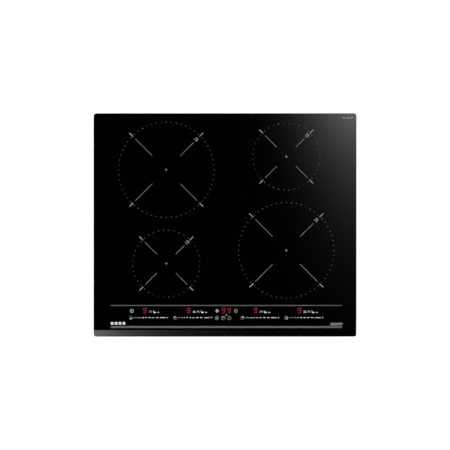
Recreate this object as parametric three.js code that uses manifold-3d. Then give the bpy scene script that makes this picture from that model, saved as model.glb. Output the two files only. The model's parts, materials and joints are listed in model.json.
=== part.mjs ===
// Built-in induction hob with four cooking zones: glass-ceramic top, sheet-steel casing,
// sprung induction coils, power electronics, blowers, touch panel and worktop clamps.
// Millimetres, +Z up, front edge towards -Y. The origin is under the middle of the glass,
// on the plane of the casing's underside.
import * as THREE from "three";
import { mergeVertices } from "three/addons/utils/BufferGeometryUtils.js";
import Module from "manifold-3d";

// ---------------------------------------------------------------- driving dimensions

const GAP = 0.3; // clearance between neighbouring pieces
const SHEET = 1; // casing and coil-tray sheet

const GLASS = {
  width: 600,
  depth: 510,
  thickness: 4,
  corner: 6,
  edge: 0.5, // ground edge all round
  bevelRun: 15, // front facet, seen from above
  bevelDrop: 2.2,
};

const CASE = {
  width: 552, // of the upper part, which fits a cut-out of 560 by 490
  depth: 482,
  height: 49, // to the top of the flange
  corner: 10,
  deepWidth: 492, // the deep middle, between the two raised side bands
  step: 12, // underside of the side bands
  flange: 4,
};

// Narrow slots in the casing, so that nothing thicker than a screwdriver's tip goes in
const VENTS = {
  slot: 3,
  intakes: 7,
  intakePitch: 8,
  intakeRadius: 30,
  outlets: 10,
  outletPitch: 11,
  outletLength: 34,
  outletX: 140,
  outletY: -208,
  rear: 8,
  rearPitch: 9,
  rearBottom: 19,
  rearTop: 37,
};

const BEAD = { width: 3, thickness: 1 };
const SEAL = { inset: 2.4, width: 7, thickness: 3 };

const GLASS_UNDERSIDE = CASE.height + BEAD.thickness;

// Pressed ribs that stiffen the casing's bottom
const RIBS = { length: 440, width: 12, height: 1.5, places: [-110, -30, 50] };

const COIL_TRAY = {
  inner: 3,
  outer: 268,
  front: -168,
  back: 236,
  top: 32,
  legInner: 12,
  legOuter: 240,
  sensorHole: 9,
  leadSlot: [12, 32], // beside each coil
};
// Stretches of the trays' legs that are left open for air, as distances from the centreline
const AIR_WINDOWS = { front: [[30, 120], [140, 220]], blower: [154, 226], bottom: 8, top: 28 };

// Cooking zones: centre of each on the glass, and the outer radius of its coil
const ZONES = {
  back_left: { x: -134, y: 126, coil: 98, bars: 8 },
  front_left: { x: -134, y: -88, coil: 68, bars: 6 },
  back_right: { x: 140, y: 156, coil: 68, bars: 6 },
  front_right: { x: 140, y: -58, coil: 98, bars: 8 },
};

// Heights in a coil stack, above the top of the coil tray
const STACK = {
  ferriteBottom: 4.7,
  ferriteTop: 9.7,
  formerBottom: 10,
  formerTop: 12.1,
  windingBottom: 12.4,
  windingTop: 15.8,
  rimTop: 16.7,
  micaBottom: 17,
  micaTop: 17.5,
  sensorTop: 17.7,
};
const HUB = { bore: 7, outer: 10 };
const COIL_SPRING = { bottomRadius: 18, topRadius: 14, wire: 0.7, turns: 2.5 };

const FLOOR_CLEAR = 3; // electronics stand this far above the casing's underside
const POWER = { inner: 8, outer: 240, front: -158, back: 118, boardBottom: 10, boardTop: 11.6 };
const HEAT_SINK = { width: 56, front: -70, back: 104, base: 4, height: 18, fin: 1.6, pitch: 6, fins: 10 };
const FILTER = { left: -136, right: 40, front: 128, back: 230 };
const CHOKE = { x: -64, y: 168, major: 18, minor: 7.6 };
const FAN = {
  x: 190,
  y: 182,
  radius: 46,
  wall: 2,
  height: 25,
  inlet: 28,
  duct: 54,
  ductEnd: 54,
  blades: 15,
};

const TERMINAL = {
  left: 48,
  right: 142,
  front: 164,
  back: 239.5,
  top: 27,
  wall: 2,
  hingeY: 170.5,
  hingeZ: 3.3,
};
const CABLE_INLET = { x: 95, z: 16, bore: 5, neck: 7.2, flange: 10 };

const TOUCH = { left: -238, right: 242, front: -232, back: -178, plate: 34, rim: 40, board: 1.6 };
// Centres of the display windows along the panel, and the width of each window
const DISPLAYS = [
  { x: -182.5, width: 12 },
  { x: -83.5, width: 12 },
  { x: 3.5, width: 26 },
  { x: 70, width: 12 },
  { x: 169.5, width: 12 },
];
const DISPLAY_Y = -196.5;

const CLAMP = { x: 261, y: 185, width: 18, reach: 38, bottom: 4, sheet: 2, lipTop: 9.9, shank: 2 };

// ---------------------------------------------------------------- solids

const kernel = await Module();
kernel.setup();

function toSolid(geometry) {
  const bare = geometry.index ? geometry.toNonIndexed() : geometry.clone();
  bare.deleteAttribute("normal");
  bare.deleteAttribute("uv");
  const merged = mergeVertices(bare, 1e-3);
  return new kernel.Manifold(
    new kernel.Mesh({
      numProp: 3,
      vertProperties: merged.attributes.position.array,
      triVerts: new Uint32Array(merged.index.array),
    }),
  );
}

function toGeometry(solid) {
  const mesh = solid.getMesh();
  const indexed = new THREE.BufferGeometry();
  indexed.setAttribute("position", new THREE.BufferAttribute(mesh.vertProperties, 3));
  indexed.setIndex(new THREE.BufferAttribute(mesh.triVerts, 1));
  const faceted = indexed.toNonIndexed();
  faceted.computeVertexNormals();
  return faceted;
}

function join(...pieces) {
  return toGeometry(pieces.map(toSolid).reduce((whole, piece) => whole.add(piece)));
}

function cut(body, ...tools) {
  return toGeometry(tools.map(toSolid).reduce((left, tool) => left.subtract(tool), toSolid(body)));
}

// ---------------------------------------------------------------- basic shapes

// A box between two corners, each given as [x, y, z]
function block(low, high) {
  const [w, d, h] = high.map((value, axis) => value - low[axis]);
  const [x, y, z] = high.map((value, axis) => (value + low[axis]) / 2);
  return new THREE.BoxGeometry(w, d, h).translate(x, y, z);
}

// An upright cylinder
function rod(radius, bottom, top, { x = 0, y = 0, sides = 16 } = {}) {
  return new THREE.CylinderGeometry(radius, radius, top - bottom, sides)
    .rotateX(Math.PI / 2)
    .translate(x, y, (bottom + top) / 2);
}

// A flat outline raised from one height to another
function plate(shape, bottom, top) {
  const settings = { depth: top - bottom, bevelEnabled: false, curveSegments: 6 };
  return new THREE.ExtrudeGeometry(shape, settings).translate(0, 0, bottom);
}

// A profile of [radius, height] pairs turned about the Z axis, listed from the bottom of the
// outside upwards and back down the inside
function turned(profile, sides = 20) {
  const points = [...profile, profile[0]].map(([radius, height]) => new THREE.Vector2(radius, height));
  return new THREE.LatheGeometry(points, sides).rotateX(Math.PI / 2);
}

// A rectangle with round corners, centred on the origin
function roundedRectangle(width, depth, radius) {
  const [w, d] = [width / 2, depth / 2];
  const shape = new THREE.Shape();
  shape.moveTo(w, d - radius);
  shape.absarc(w - radius, d - radius, radius, 0, Math.PI / 2, false);
  shape.absarc(radius - w, d - radius, radius, Math.PI / 2, Math.PI, false);
  shape.absarc(radius - w, radius - d, radius, Math.PI, Math.PI * 1.5, false);
  shape.absarc(w - radius, radius - d, radius, Math.PI * 1.5, Math.PI * 2, false);
  return shape;
}

function polygon(points) {
  return new THREE.Shape(points.map(([x, y]) => new THREE.Vector2(x, y)));
}

// A straight slot along X
function slot(length, width) {
  const [x, y] = [length / 2, width / 2];
  return polygon([[x, -y], [x, y], [-x, y], [-x, -y]]);
}

// Evenly spaced places, centred on zero
function spaced(count, pitch) {
  return Array.from({ length: count }, (_, i) => (i - (count - 1) / 2) * pitch);
}

// ---------------------------------------------------------------- materials

function material(color, roughness, metalness = 0) {
  return new THREE.MeshStandardMaterial({ color, roughness, metalness });
}

const FINISH = {
  blackGlass: material(0x060607, 0.06),
  silicone: material(0x1b1b1c, 0.7),
  foam: material(0x2b2b2d, 0.95),
  steel: material(0xa9acae, 0.42, 1),
  aluminium: material(0xc6c8ca, 0.38, 1),
  copper: material(0xb5652f, 0.45, 1),
  ferrite: material(0x2c2b2c, 0.8),
  mica: material(0xcfc9b4, 0.75),
  coilPlastic: material(0xd9d6cc, 0.6),
  ceramic: material(0xe9e7e0, 0.5),
  springSteel: material(0x8f9092, 0.3, 1),
  blackPlastic: material(0x1a1a1b, 0.55),
  greyPlastic: material(0x5d6062, 0.6),
  circuitBoard: material(0x1d5a38, 0.5),
  capacitor: material(0x2d4f86, 0.5),
  whitePlastic: material(0xe6e6e2, 0.5),
  ribbon: material(0x8d9094, 0.6),
  zinc: material(0xb9bcc0, 0.32, 1),
};

function part(name, geometry, finish, parent) {
  const mesh = new THREE.Mesh(geometry, finish);
  mesh.name = name;
  parent.add(mesh);
  return mesh;
}

// ---------------------------------------------------------------- glass and its seals

// The plate has ground edges all round, and a wide sloping facet along the front
function glassPlate() {
  const inset = 2 * GLASS.edge;
  const outline = roundedRectangle(GLASS.width - inset, GLASS.depth - inset, GLASS.corner);
  const slab = new THREE.ExtrudeGeometry(outline, {
    depth: GLASS.thickness - inset,
    bevelEnabled: true,
    bevelThickness: GLASS.edge,
    bevelSize: GLASS.edge,
    bevelSegments: 1,
    curveSegments: 5,
  }).translate(0, 0, GLASS_UNDERSIDE + GLASS.edge);
  const top = GLASS_UNDERSIDE + GLASS.thickness;
  const front = -GLASS.depth / 2;
  const past = 10; // the cutter runs on beyond the glass
  const slope = GLASS.bevelDrop / GLASS.bevelRun;
  const wedge = plate(
    polygon([
      [front + GLASS.bevelRun, top],
      [front + GLASS.bevelRun, top + past],
      [front - past, top + past],
      [front - past, top - GLASS.bevelDrop - past * slope],
    ]),
    -GLASS.width,
    GLASS.width,
  );
  // the wedge's outline is drawn as (y, z) and runs along x
  wedge.rotateZ(Math.PI / 2).rotateY(Math.PI / 2);
  return cut(slab, wedge);
}

// A closed band that follows a rounded rectangle
function band(width, depth, corner, wide, bottom, top) {
  const outer = plate(roundedRectangle(width, depth, corner), bottom, top);
  const hole = roundedRectangle(width - 2 * wide, depth - 2 * wide, Math.max(corner - wide, 1));
  return cut(outer, plate(hole, bottom - 1, top + 1));
}

function addGlass(hob) {
  part("glass_plate", glassPlate(), FINISH.blackGlass, hob);
  const flangeWidth = CASE.width + 2 * CASE.flange;
  const flangeDepth = CASE.depth + 2 * CASE.flange;
  const flangeCorner = CASE.corner + CASE.flange;
  const bead = band(
    flangeWidth - 1,
    flangeDepth - 1,
    flangeCorner - 0.5,
    BEAD.width,
    CASE.height,
    GLASS_UNDERSIDE,
  );
  part("bonding_bead", bead, FINISH.silicone, hob);
  const seal = band(
    GLASS.width - 2 * SEAL.inset,
    GLASS.depth - 2 * SEAL.inset,
    GLASS.corner,
    SEAL.width,
    GLASS_UNDERSIDE - SEAL.thickness,
    GLASS_UNDERSIDE,
  );
  part("worktop_seal", seal, FINISH.foam, hob);
}

// ---------------------------------------------------------------- casing

// Everything that is pierced through the casing's bottom and walls
function casingHoles() {
  const holes = [];
  const through = (shape, x, y) => plate(shape, -1, SHEET + 1).translate(x, y, 0);
  for (const side of [-1, 1]) {
    // blower intakes: slots that fill a circle
    for (const offset of spaced(VENTS.intakes, VENTS.intakePitch)) {
      const length = 2 * Math.sqrt(VENTS.intakeRadius ** 2 - offset ** 2);
      holes.push(through(slot(length, VENTS.slot), side * FAN.x, FAN.y + offset));
    }
    // warm-air outlets near the front
    for (const offset of spaced(VENTS.outlets, VENTS.outletPitch)) {
      const outlet = slot(VENTS.slot, VENTS.outletLength);
      holes.push(through(outlet, side * VENTS.outletX + offset, VENTS.outletY));
    }
    // rear-wall slots
    for (const offset of spaced(VENTS.rear, VENTS.rearPitch)) {
      const upright = block(
        [-VENTS.slot / 2, -3, VENTS.rearBottom],
        [VENTS.slot / 2, 3, VENTS.rearTop],
      );
      holes.push(upright.translate(side * FAN.x + offset, CASE.depth / 2, 0));
    }
    // clamp screws
    for (const end of [-1, 1]) {
      const place = { x: side * CLAMP.x, y: end * CLAMP.y, sides: 10 };
      holes.push(rod(CLAMP.shank + GAP, CASE.step - 1, CASE.step + SHEET + 1, place));
    }
  }
  // the terminal compartment is reached from below, and its cable comes in through the back
  holes.push(
    block(
      [TERMINAL.left + 3.5, TERMINAL.front + 2.6, -1],
      [TERMINAL.right - 3.5, TERMINAL.back - 3, SHEET + 1],
    ),
  );
  const inlet = rod(CABLE_INLET.neck + GAP, -4, 4, { sides: 16 }).rotateX(Math.PI / 2);
  holes.push(inlet.translate(CABLE_INLET.x, CASE.depth / 2, CABLE_INLET.z));
  return holes;
}

function casingTray() {
  const inner = CASE.corner - SHEET;
  const past = CASE.height + 1;
  const shell = join(
    plate(roundedRectangle(CASE.width, CASE.depth, CASE.corner), CASE.step, CASE.height),
    plate(roundedRectangle(CASE.deepWidth, CASE.depth, CASE.corner), 0, CASE.height),
    plate(
      roundedRectangle(
        CASE.width + 2 * CASE.flange,
        CASE.depth + 2 * CASE.flange,
        CASE.corner + CASE.flange,
      ),
      CASE.height - SHEET,
      CASE.height,
    ),
  );
  const hollow = join(
    plate(roundedRectangle(CASE.width - 2, CASE.depth - 2, inner), CASE.step + SHEET, past),
    plate(roundedRectangle(CASE.deepWidth - 2, CASE.depth - 2, inner), SHEET, past),
  );
  // the ribs are raised inside and hollow underneath
  const ridges = (grow, bottom, top) =>
    RIBS.places.map((y) => {
      const outline = slot(RIBS.length + 2 * grow, RIBS.width + 2 * grow);
      return plate(outline, bottom, top).translate(0, y, 0);
    });
  const ribbed = join(cut(shell, hollow), ...ridges(SHEET, 0, RIBS.height + SHEET));
  return cut(ribbed, ...ridges(0, -1, RIBS.height), ...casingHoles());
}

// ---------------------------------------------------------------- coil trays and coils

// A sheet table over the electronics. Its front and back legs stand on the casing.
function coilTray(side) {
  const t = COIL_TRAY;
  const span = (a, b) => (side > 0 ? [a, b] : [-b, -a]);
  const panel = (from, to, y0, y1, z0, z1) => {
    const [x0, x1] = span(from, to);
    return block([x0, y0, z0], [x1, y1, z1]);
  };
  const foot = SHEET + GAP;
  const under = t.top - SHEET;
  const sheet = join(
    panel(t.inner, t.outer, t.front, t.back, under, t.top),
    panel(t.legInner, t.legOuter, t.front, t.front + SHEET, foot, t.top),
    panel(t.legInner, t.legOuter, t.back - SHEET, t.back, foot, t.top),
  );
  const air = AIR_WINDOWS;
  const frontHole = ([from, to]) => panel(from, to, t.front - 1, t.front + 2, air.bottom, air.top);
  const backHole = ([from, to], bottom, top) => panel(from, to, t.back - 2, t.back + 1, bottom, top);
  const mains = side > 0 ? [TERMINAL.left - 3, TERMINAL.right + 3] : [40, 130];
  const holes = [
    ...air.front.map(frontHole),
    backHole(air.blower, air.bottom, air.top),
    backHole(mains, 0, under), // clears the terminal housing and the filter board
  ];
  const [bottom, top] = [t.top - 3, t.top + 1];
  const [slotWidth, slotLength] = t.leadSlot;
  for (const zone of Object.values(ZONES)) {
    if (Math.sign(zone.x) !== side) continue;
    holes.push(rod(t.sensorHole, bottom, top, { x: zone.x, y: zone.y }));
    const leads = block([-slotWidth / 2, -slotLength / 2, bottom], [slotWidth / 2, slotLength / 2, top]);
    holes.push(leads.translate(zone.x - side * (zone.coil + slotWidth), zone.y, 0));
  }
  return cut(sheet, ...holes);
}

// A disc with a rim round the winding and a hub round the sensor
function coilFormer(radius) {
  const s = STACK;
  const rim = 2;
  return turned([
    [radius, s.formerBottom],
    [radius, s.rimTop],
    [radius - rim, s.rimTop],
    [radius - rim, s.formerTop],
    [HUB.outer, s.formerTop],
    [HUB.outer, s.rimTop],
    [HUB.bore, s.rimTop],
    [HUB.bore, s.formerBottom],
  ]);
}

function ring(outer, inner, bottom, top, sides = 24) {
  return turned([[outer, bottom], [outer, top], [inner, top], [inner, bottom]], sides);
}

// Flat ferrite bars that reach out from a ring
function ferriteStar(radius, bars) {
  const s = STACK;
  const width = 12;
  const collar = { outer: 26, inner: 20 };
  const spokes = Array.from({ length: bars }, (_, i) =>
    block(
      [collar.inner + 3, -width / 2, s.ferriteBottom],
      [radius - 8, width / 2, s.ferriteTop],
    ).rotateZ(((i + 0.5) * 2 * Math.PI) / bars),
  );
  return join(ring(collar.outer, collar.inner, s.ferriteBottom, s.ferriteTop, 16), ...spokes);
}

// Temperature sensor: a cap on a stem that slides in the former's hub
function panSensor() {
  const [cap, stem, foot] = [6.2, 3, 5.5];
  return turned(
    [
      [0, 4],
      [foot, 4],
      [foot, 5.5],
      [stem, 5.5],
      [stem, 13.5],
      [cap, 14.4],
      [cap, STACK.sensorTop - 0.8],
      [cap - 0.8, STACK.sensorTop],
      [0, STACK.sensorTop],
    ],
    12,
  );
}

// A conical coil spring's centreline
class SpringCurve extends THREE.Curve {
  getPoint(t) {
    const { bottomRadius, topRadius, wire, turns } = COIL_SPRING;
    const angle = t * turns * 2 * Math.PI;
    const radius = bottomRadius + (topRadius - bottomRadius) * t;
    const bottom = GAP + wire;
    const height = STACK.formerBottom - GAP - wire - bottom;
    return new THREE.Vector3(
      radius * Math.cos(angle),
      radius * Math.sin(angle),
      bottom + t * height,
    );
  }
}

function coilSpring() {
  const wire = new THREE.Shape();
  wire.absarc(0, 0, COIL_SPRING.wire, 0, 2 * Math.PI, false);
  const settings = { steps: 28, curveSegments: 2, bevelEnabled: false };
  return new THREE.ExtrudeGeometry(wire, { ...settings, extrudePath: new SpringCurve() });
}

function addCoil(hob, name, zone) {
  const s = STACK;
  const stack = new THREE.Group();
  stack.position.set(zone.x, zone.y, COIL_TRAY.top);
  hob.add(stack);
  const windingInner = zone.coil > 80 ? 24 : 18;
  const winding = ring(zone.coil - 5, windingInner, s.windingBottom, s.windingTop);
  part(`coil_spring_${name}`, coilSpring(), FINISH.springSteel, stack);
  part(`ferrite_star_${name}`, ferriteStar(zone.coil, zone.bars), FINISH.ferrite, stack);
  part(`coil_former_${name}`, coilFormer(zone.coil), FINISH.coilPlastic, stack);
  part(`coil_winding_${name}`, winding, FINISH.copper, stack);
  part(`mica_sheet_${name}`, ring(zone.coil - 2, 8.5, s.micaBottom, s.micaTop), FINISH.mica, stack);
  part(`pan_sensor_${name}`, panSensor(), FINISH.ceramic, stack);
}

// ---------------------------------------------------------------- power electronics

// How far the middle of a blower's duct, and of the heat sink it feeds, is from the centreline
function ductCentre() {
  return FAN.x - FAN.radius + FAN.duct / 2;
}

// A plastic plate with posts for the board
function boardCarrier(side) {
  const { inner, outer, front, back } = POWER;
  const [x0, x1] = side > 0 ? [inner, outer] : [-outer, -inner];
  const plateTop = FLOOR_CLEAR + 3;
  const posts = [];
  for (const x of [x0 + 16, x1 - 16]) {
    for (const y of [front + 16, (front + back) / 2, back - 16]) {
      posts.push(rod(4, plateTop - 1, POWER.boardBottom - GAP, { x, y, sides: 8 }));
    }
  }
  return join(block([x0, front, FLOOR_CLEAR], [x1, back, plateTop]), ...posts);
}

// The board with the parts soldered to it: relays, transformer, electrolytics and connectors
function powerBoard(side) {
  const at = (x) => side * x;
  const low = POWER.boardTop - 0.2;
  const box = (x, y, w, d, h) =>
    block([at(x) - w / 2, y - d / 2, low], [at(x) + w / 2, y + d / 2, POWER.boardTop + h]);
  const half = (POWER.outer - POWER.inner) / 2 - 5;
  const middle = at((POWER.outer + POWER.inner) / 2);
  const board = block(
    [middle - half, POWER.front + 6, POWER.boardBottom],
    [middle + half, POWER.back - 6, POWER.boardTop],
  );
  const relays = [-20, 20].map((y) => box(216, y - 60, 15, 19, 15));
  const cans = [2, 26, 50].map((y) =>
    rod(8, low, POWER.boardTop + 17, { x: at(28), y, sides: 10 }),
  );
  const transformer = box(80, -60, 32, 26, 17);
  const plugs = [-130, -104, -78].map((y) => box(28, y, 12, 18, 9));
  const leadPosts = [-24, -8, 8, 24].map((x) =>
    rod(4, low, POWER.boardTop + 6, { x: at(110 + x), y: -136, sides: 8 }),
  );
  return join(board, ...relays, ...cans, transformer, ...plugs, ...leadPosts);
}

// An extruded comb with its fins along the air stream, in line with the blower's duct
function heatSink(side) {
  const { width, front, back, base, height, fin, pitch, fins: count } = HEAT_SINK;
  const bottom = POWER.boardTop + GAP;
  const fins = spaced(count, pitch).map((x) =>
    block([x - fin / 2, front, bottom + base - 0.5], [x + fin / 2, back, bottom + height]),
  );
  const comb = join(block([-width / 2, front, bottom], [width / 2, back, bottom + base]), ...fins);
  return comb.translate(side * ductCentre(), 0, 0);
}

// Film capacitors side by side on one potted strip
function capacitorBank(side) {
  const bottom = POWER.boardTop + GAP;
  const x = side * 78;
  const cells = spaced(4, 20).map((y) =>
    block([x - 17, y + 42, bottom], [x + 17, y + 60, bottom + 17]),
  );
  return join(block([x - 16, 16, bottom], [x + 16, 88, bottom + 3]), ...cells);
}

function addPower(hob, side, name) {
  part(`board_carrier_${name}`, boardCarrier(side), FINISH.blackPlastic, hob);
  part(`power_board_${name}`, powerBoard(side), FINISH.circuitBoard, hob);
  part(`heat_sink_${name}`, heatSink(side), FINISH.aluminium, hob);
  part(`capacitor_bank_${name}`, capacitorBank(side), FINISH.capacitor, hob);
}

// ---------------------------------------------------------------- blowers

// A scroll casing with its inlet underneath, its outlet towards the front, and the motor's
// stator hanging from its roof. The duct is on the side next to the hob's centreline.
function fanHousing(side) {
  const { radius, wall, height, inlet, duct, ductEnd } = FAN;
  const roof = height - wall;
  const channel = (inset, end, bottom, top) => {
    const [a, b] = [inset - radius, duct - radius - inset];
    const [x0, x1] = side > 0 ? [a, b] : [-b, -a];
    return block([x0, -end, bottom], [x1, 0, top]);
  };
  const body = join(rod(radius, 0, height, { sides: 24 }), channel(0, ductEnd, 0, height));
  const air = join(
    rod(radius - wall, wall, roof, { sides: 24 }),
    channel(wall, ductEnd + 1, wall, roof),
  );
  const stator = join(
    rod(13, 12, roof + 1, { sides: 12 }),
    rod(1.5, 5.5, 13, { sides: 8 }),
  );
  return join(cut(body, air, rod(inlet, -1, wall + 1, { sides: 16 })), stator);
}

// Curved-back blades round a cup that covers the stator
function fanImpeller(side) {
  const cup = { outer: 16.8, inner: 15, bottom: 8, floor: 10 };
  const disc = { radius: 39, bottom: 19.5, top: 21 };
  const bladeInner = 31;
  const lean = 0.5;
  const blades = Array.from({ length: FAN.blades }, (_, i) =>
    block([-0.6, 0, 4.5], [0.6, disc.radius - bladeInner, disc.bottom + 0.5])
      .rotateZ(-side * lean)
      .translate(0, bladeInner, 0)
      .rotateZ((i * 2 * Math.PI) / FAN.blades),
  );
  const wheel = turned(
    [
      [cup.outer, cup.bottom],
      [cup.outer, disc.bottom],
      [disc.radius + 1, disc.bottom],
      [disc.radius + 1, disc.top],
      [cup.inner, disc.top],
      [cup.inner, cup.floor],
      [1.9, cup.floor],
      [1.9, cup.bottom],
    ],
    20,
  );
  return join(wheel, ...blades);
}

function addFan(hob, side, name) {
  const blower = new THREE.Group();
  blower.position.set(side * FAN.x, FAN.y, FLOOR_CLEAR);
  hob.add(blower);
  part(`fan_housing_${name}`, fanHousing(side), FINISH.blackPlastic, blower);
  part(`fan_impeller_${name}`, fanImpeller(side), FINISH.greyPlastic, blower);
}

// ---------------------------------------------------------------- mains input

// The board stands on spacers, with its fuse and filter capacitors soldered to it
function filterBoard() {
  const { left, right, front, back } = FILTER;
  const { boardBottom, boardTop } = POWER;
  const board = block([left, front, boardBottom], [right, back, boardTop]);
  const spacers = [];
  for (const x of [left + 8, right - 8]) {
    for (const y of [front + 8, back - 8]) {
      spacers.push(rod(3.5, SHEET + GAP, boardBottom + 0.5, { x, y, sides: 10 }));
    }
  }
  const fuse = block([0, 140, boardTop - 0.2], [26, 149, boardTop + 9]);
  const filterCaps = [-110, -20].map((x) =>
    block([x - 13, 196, boardTop - 0.2], [x + 13, 212, boardTop + 15]),
  );
  return join(board, ...spacers, fuse, ...filterCaps);
}

// A toroid lying flat on the filter board
function lineChoke() {
  const { x, y, major, minor } = CHOKE;
  const facets = 8;
  const profile = Array.from({ length: facets }, (_, i) => {
    const angle = (i * 2 * Math.PI) / facets;
    return [major + minor * Math.cos(angle), minor * Math.sin(angle)];
  });
  return turned(profile, 16).translate(x, y, POWER.boardTop + GAP + minor);
}

// A box open at the bottom, with bearings for the cover's hinge pins
function terminalHousing() {
  const { left, right, front, back, top, wall, hingeY, hingeZ } = TERMINAL;
  const bottom = SHEET + GAP;
  const shell = cut(
    block([left, front, bottom], [right, back, top]),
    block([left + wall, front + wall, bottom - 1], [right - wall, back - wall, top - wall]),
  );
  const bearing = rod(1.5, left - 1, right + 1, { sides: 12 }).rotateY(Math.PI / 2);
  bearing.translate(0, hingeY, hingeZ);
  const inlet = rod(CABLE_INLET.neck + GAP, -6, 6, { sides: 16 }).rotateX(Math.PI / 2);
  inlet.translate(CABLE_INLET.x, back - wall, CABLE_INLET.z);
  return cut(shell, bearing, inlet);
}

// Six ways, each with a screw well and a wire hole
function terminalBlock() {
  const [width, depth, height, ways, pitch] = [64, 20, 13, 6, 10];
  const wells = spaced(ways, pitch).map((x) => rod(3, -1, height - 4, { x, y: 3, sides: 8 }));
  const wires = spaced(ways, pitch).map((x) => block([x - 2, -depth, 4], [x + 2, -2, 8]));
  const body = block([-width / 2, -depth / 2, 0], [width / 2, depth / 2, height]);
  const top = TERMINAL.top - TERMINAL.wall - GAP;
  return cut(body, ...wells, ...wires).translate(CABLE_INLET.x, 192, top - height);
}

// The flap over the terminals, with a barrel and two pins along its front edge
function terminalCover() {
  const { left, right, back, hingeY, hingeZ } = TERMINAL;
  const [x0, x1] = [left + 5, right - 5];
  const [bottom, top] = [0.2, 2.2];
  const flap = block([x0, hingeY - 1.3, bottom], [x1, back - 4.5, top]);
  const web = block([x0, hingeY - 1.3, bottom], [x1, hingeY + 1.3, hingeZ]);
  const along = (radius, from, to) =>
    rod(radius, from, to, { sides: 12 }).rotateY(Math.PI / 2).translate(0, hingeY, hingeZ);
  const ribs = [-24, 0, 24].map((x) =>
    block([CABLE_INLET.x + x - 1, hingeY + 6, top - 0.5], [CABLE_INLET.x + x + 1, back - 12, top + 2]),
  );
  return join(flap, web, along(1.8, x0, x1), along(1.1, left + 0.6, right - 0.6), ...ribs);
}

// A flanged bush in the rear wall
function cableGland() {
  const { bore, neck, flange, x, z } = CABLE_INLET;
  const outside = CASE.depth / 2;
  const flangeBack = GAP;
  const bush = turned(
    [
      [neck, -6],
      [neck, flangeBack],
      [flange, flangeBack],
      [flange, flangeBack + 1.4],
      [flange - 1.2, flangeBack + 2.6],
      [bore, flangeBack + 2.6],
      [bore, -6],
    ],
    16,
  );
  return bush.rotateX(-Math.PI / 2).translate(x, outside, z);
}

function addMains(hob) {
  part("filter_board", filterBoard(), FINISH.circuitBoard, hob);
  part("line_choke", lineChoke(), FINISH.copper, hob);
  part("terminal_housing", terminalHousing(), FINISH.whitePlastic, hob);
  part("terminal_block", terminalBlock(), FINISH.ceramic, hob);
  part("terminal_cover", terminalCover(), FINISH.blackPlastic, hob);
  part("cable_gland", cableGland(), FINISH.blackPlastic, hob);
}

// ---------------------------------------------------------------- touch panel

// A long shelf under the front of the glass, on four legs
function touchCarrier() {
  const { left, right, front, back, plate: shelf, rim } = TOUCH;
  const wall = 2;
  const pan = cut(
    block([left, front, shelf], [right, back, rim]),
    block([left + wall, front + wall, shelf + wall], [right - wall, back - wall, rim + 1]),
  );
  const legs = [];
  for (const x of [left, right - 8]) {
    for (const y of [front, back - 8]) {
      legs.push(block([x, y, SHEET + GAP], [x + 8, y + 8, shelf + 1]));
    }
  }
  return join(pan, ...legs);
}

// The board carries one display in each window of the light box
function touchBoard() {
  const { left, right, front, back, rim, board } = TOUCH;
  const bottom = rim + GAP;
  const slab = block([left + 2, front + 2, bottom], [right - 2, back - 2, bottom + board]);
  const displays = DISPLAYS.map(({ x, width }) =>
    block(
      [x - width / 2 + 0.5, DISPLAY_Y - 7.5, bottom + board - 0.3],
      [x + width / 2 - 0.5, DISPLAY_Y + 7.5, GLASS_UNDERSIDE - 1],
    ),
  );
  return join(slab, ...displays);
}

// Keeps each display's light apart from its neighbour's
function displayLightBox() {
  const bottom = TOUCH.rim + TOUCH.board + 2 * GAP;
  const top = GLASS_UNDERSIDE - 0.4;
  const [first, last] = [DISPLAYS[0], DISPLAYS[DISPLAYS.length - 1]];
  const body = block(
    [first.x - 10, DISPLAY_Y - 11, bottom],
    [last.x + 10, DISPLAY_Y + 11, top],
  );
  const wells = DISPLAYS.map(({ x, width }) =>
    block([x - width / 2, DISPLAY_Y - 8, bottom - 1], [x + width / 2, DISPLAY_Y + 8, top + 1]),
  );
  return cut(body, ...wells);
}

// Flat cable from the touch board, through the coil tray's leg, to the left power board
function ribbonCable() {
  const path = [
    [-179, 41.1],
    [-174.5, 41.1],
    [-172, 38.6],
    [-172, 22.5],
    [-169.5, 20],
    [-158, 20],
    [-155.5, 17.5],
    [-155.5, 15.5],
    [-153, 13],
    [-142, 13],
  ];
  const half = 0.4;
  // each point is moved square to the path, to one side and then back along the other
  const side = (sign) =>
    path.map(([y, z], i) => {
      const [ay, az] = path[Math.max(i - 1, 0)];
      const [by, bz] = path[Math.min(i + 1, path.length - 1)];
      const length = Math.hypot(by - ay, bz - az);
      return [y - (sign * half * (bz - az)) / length, z + (sign * half * (by - ay)) / length];
    });
  const outline = polygon([...side(-1), ...side(1).reverse()]);
  const cable = plate(outline, 0, 20).rotateZ(Math.PI / 2).rotateY(Math.PI / 2);
  return cable.translate(-70, 0, 0);
}

function addTouchPanel(hob) {
  part("touch_carrier", touchCarrier(), FINISH.blackPlastic, hob);
  part("touch_board", touchBoard(), FINISH.circuitBoard, hob);
  part("display_light_box", displayLightBox(), FINISH.whitePlastic, hob);
  part("ribbon_cable", ribbonCable(), FINISH.ribbon, hob);
}

// ---------------------------------------------------------------- worktop clamps

// A strip that turns on its screw. At rest it lies under the casing's side band, along the side.
function clampArm() {
  const { width, reach, bottom, sheet, lipTop, shank } = CLAMP;
  const top = bottom + sheet;
  const strip = join(
    rod(width / 2, bottom, top),
    block([-width / 2, 0, bottom], [width / 2, reach, top]),
    block([-width / 2, reach - sheet, bottom], [width / 2, reach, lipTop]),
  );
  return cut(strip, rod(shank + GAP, bottom - 1, top + 1, { sides: 10 }));
}

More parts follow.
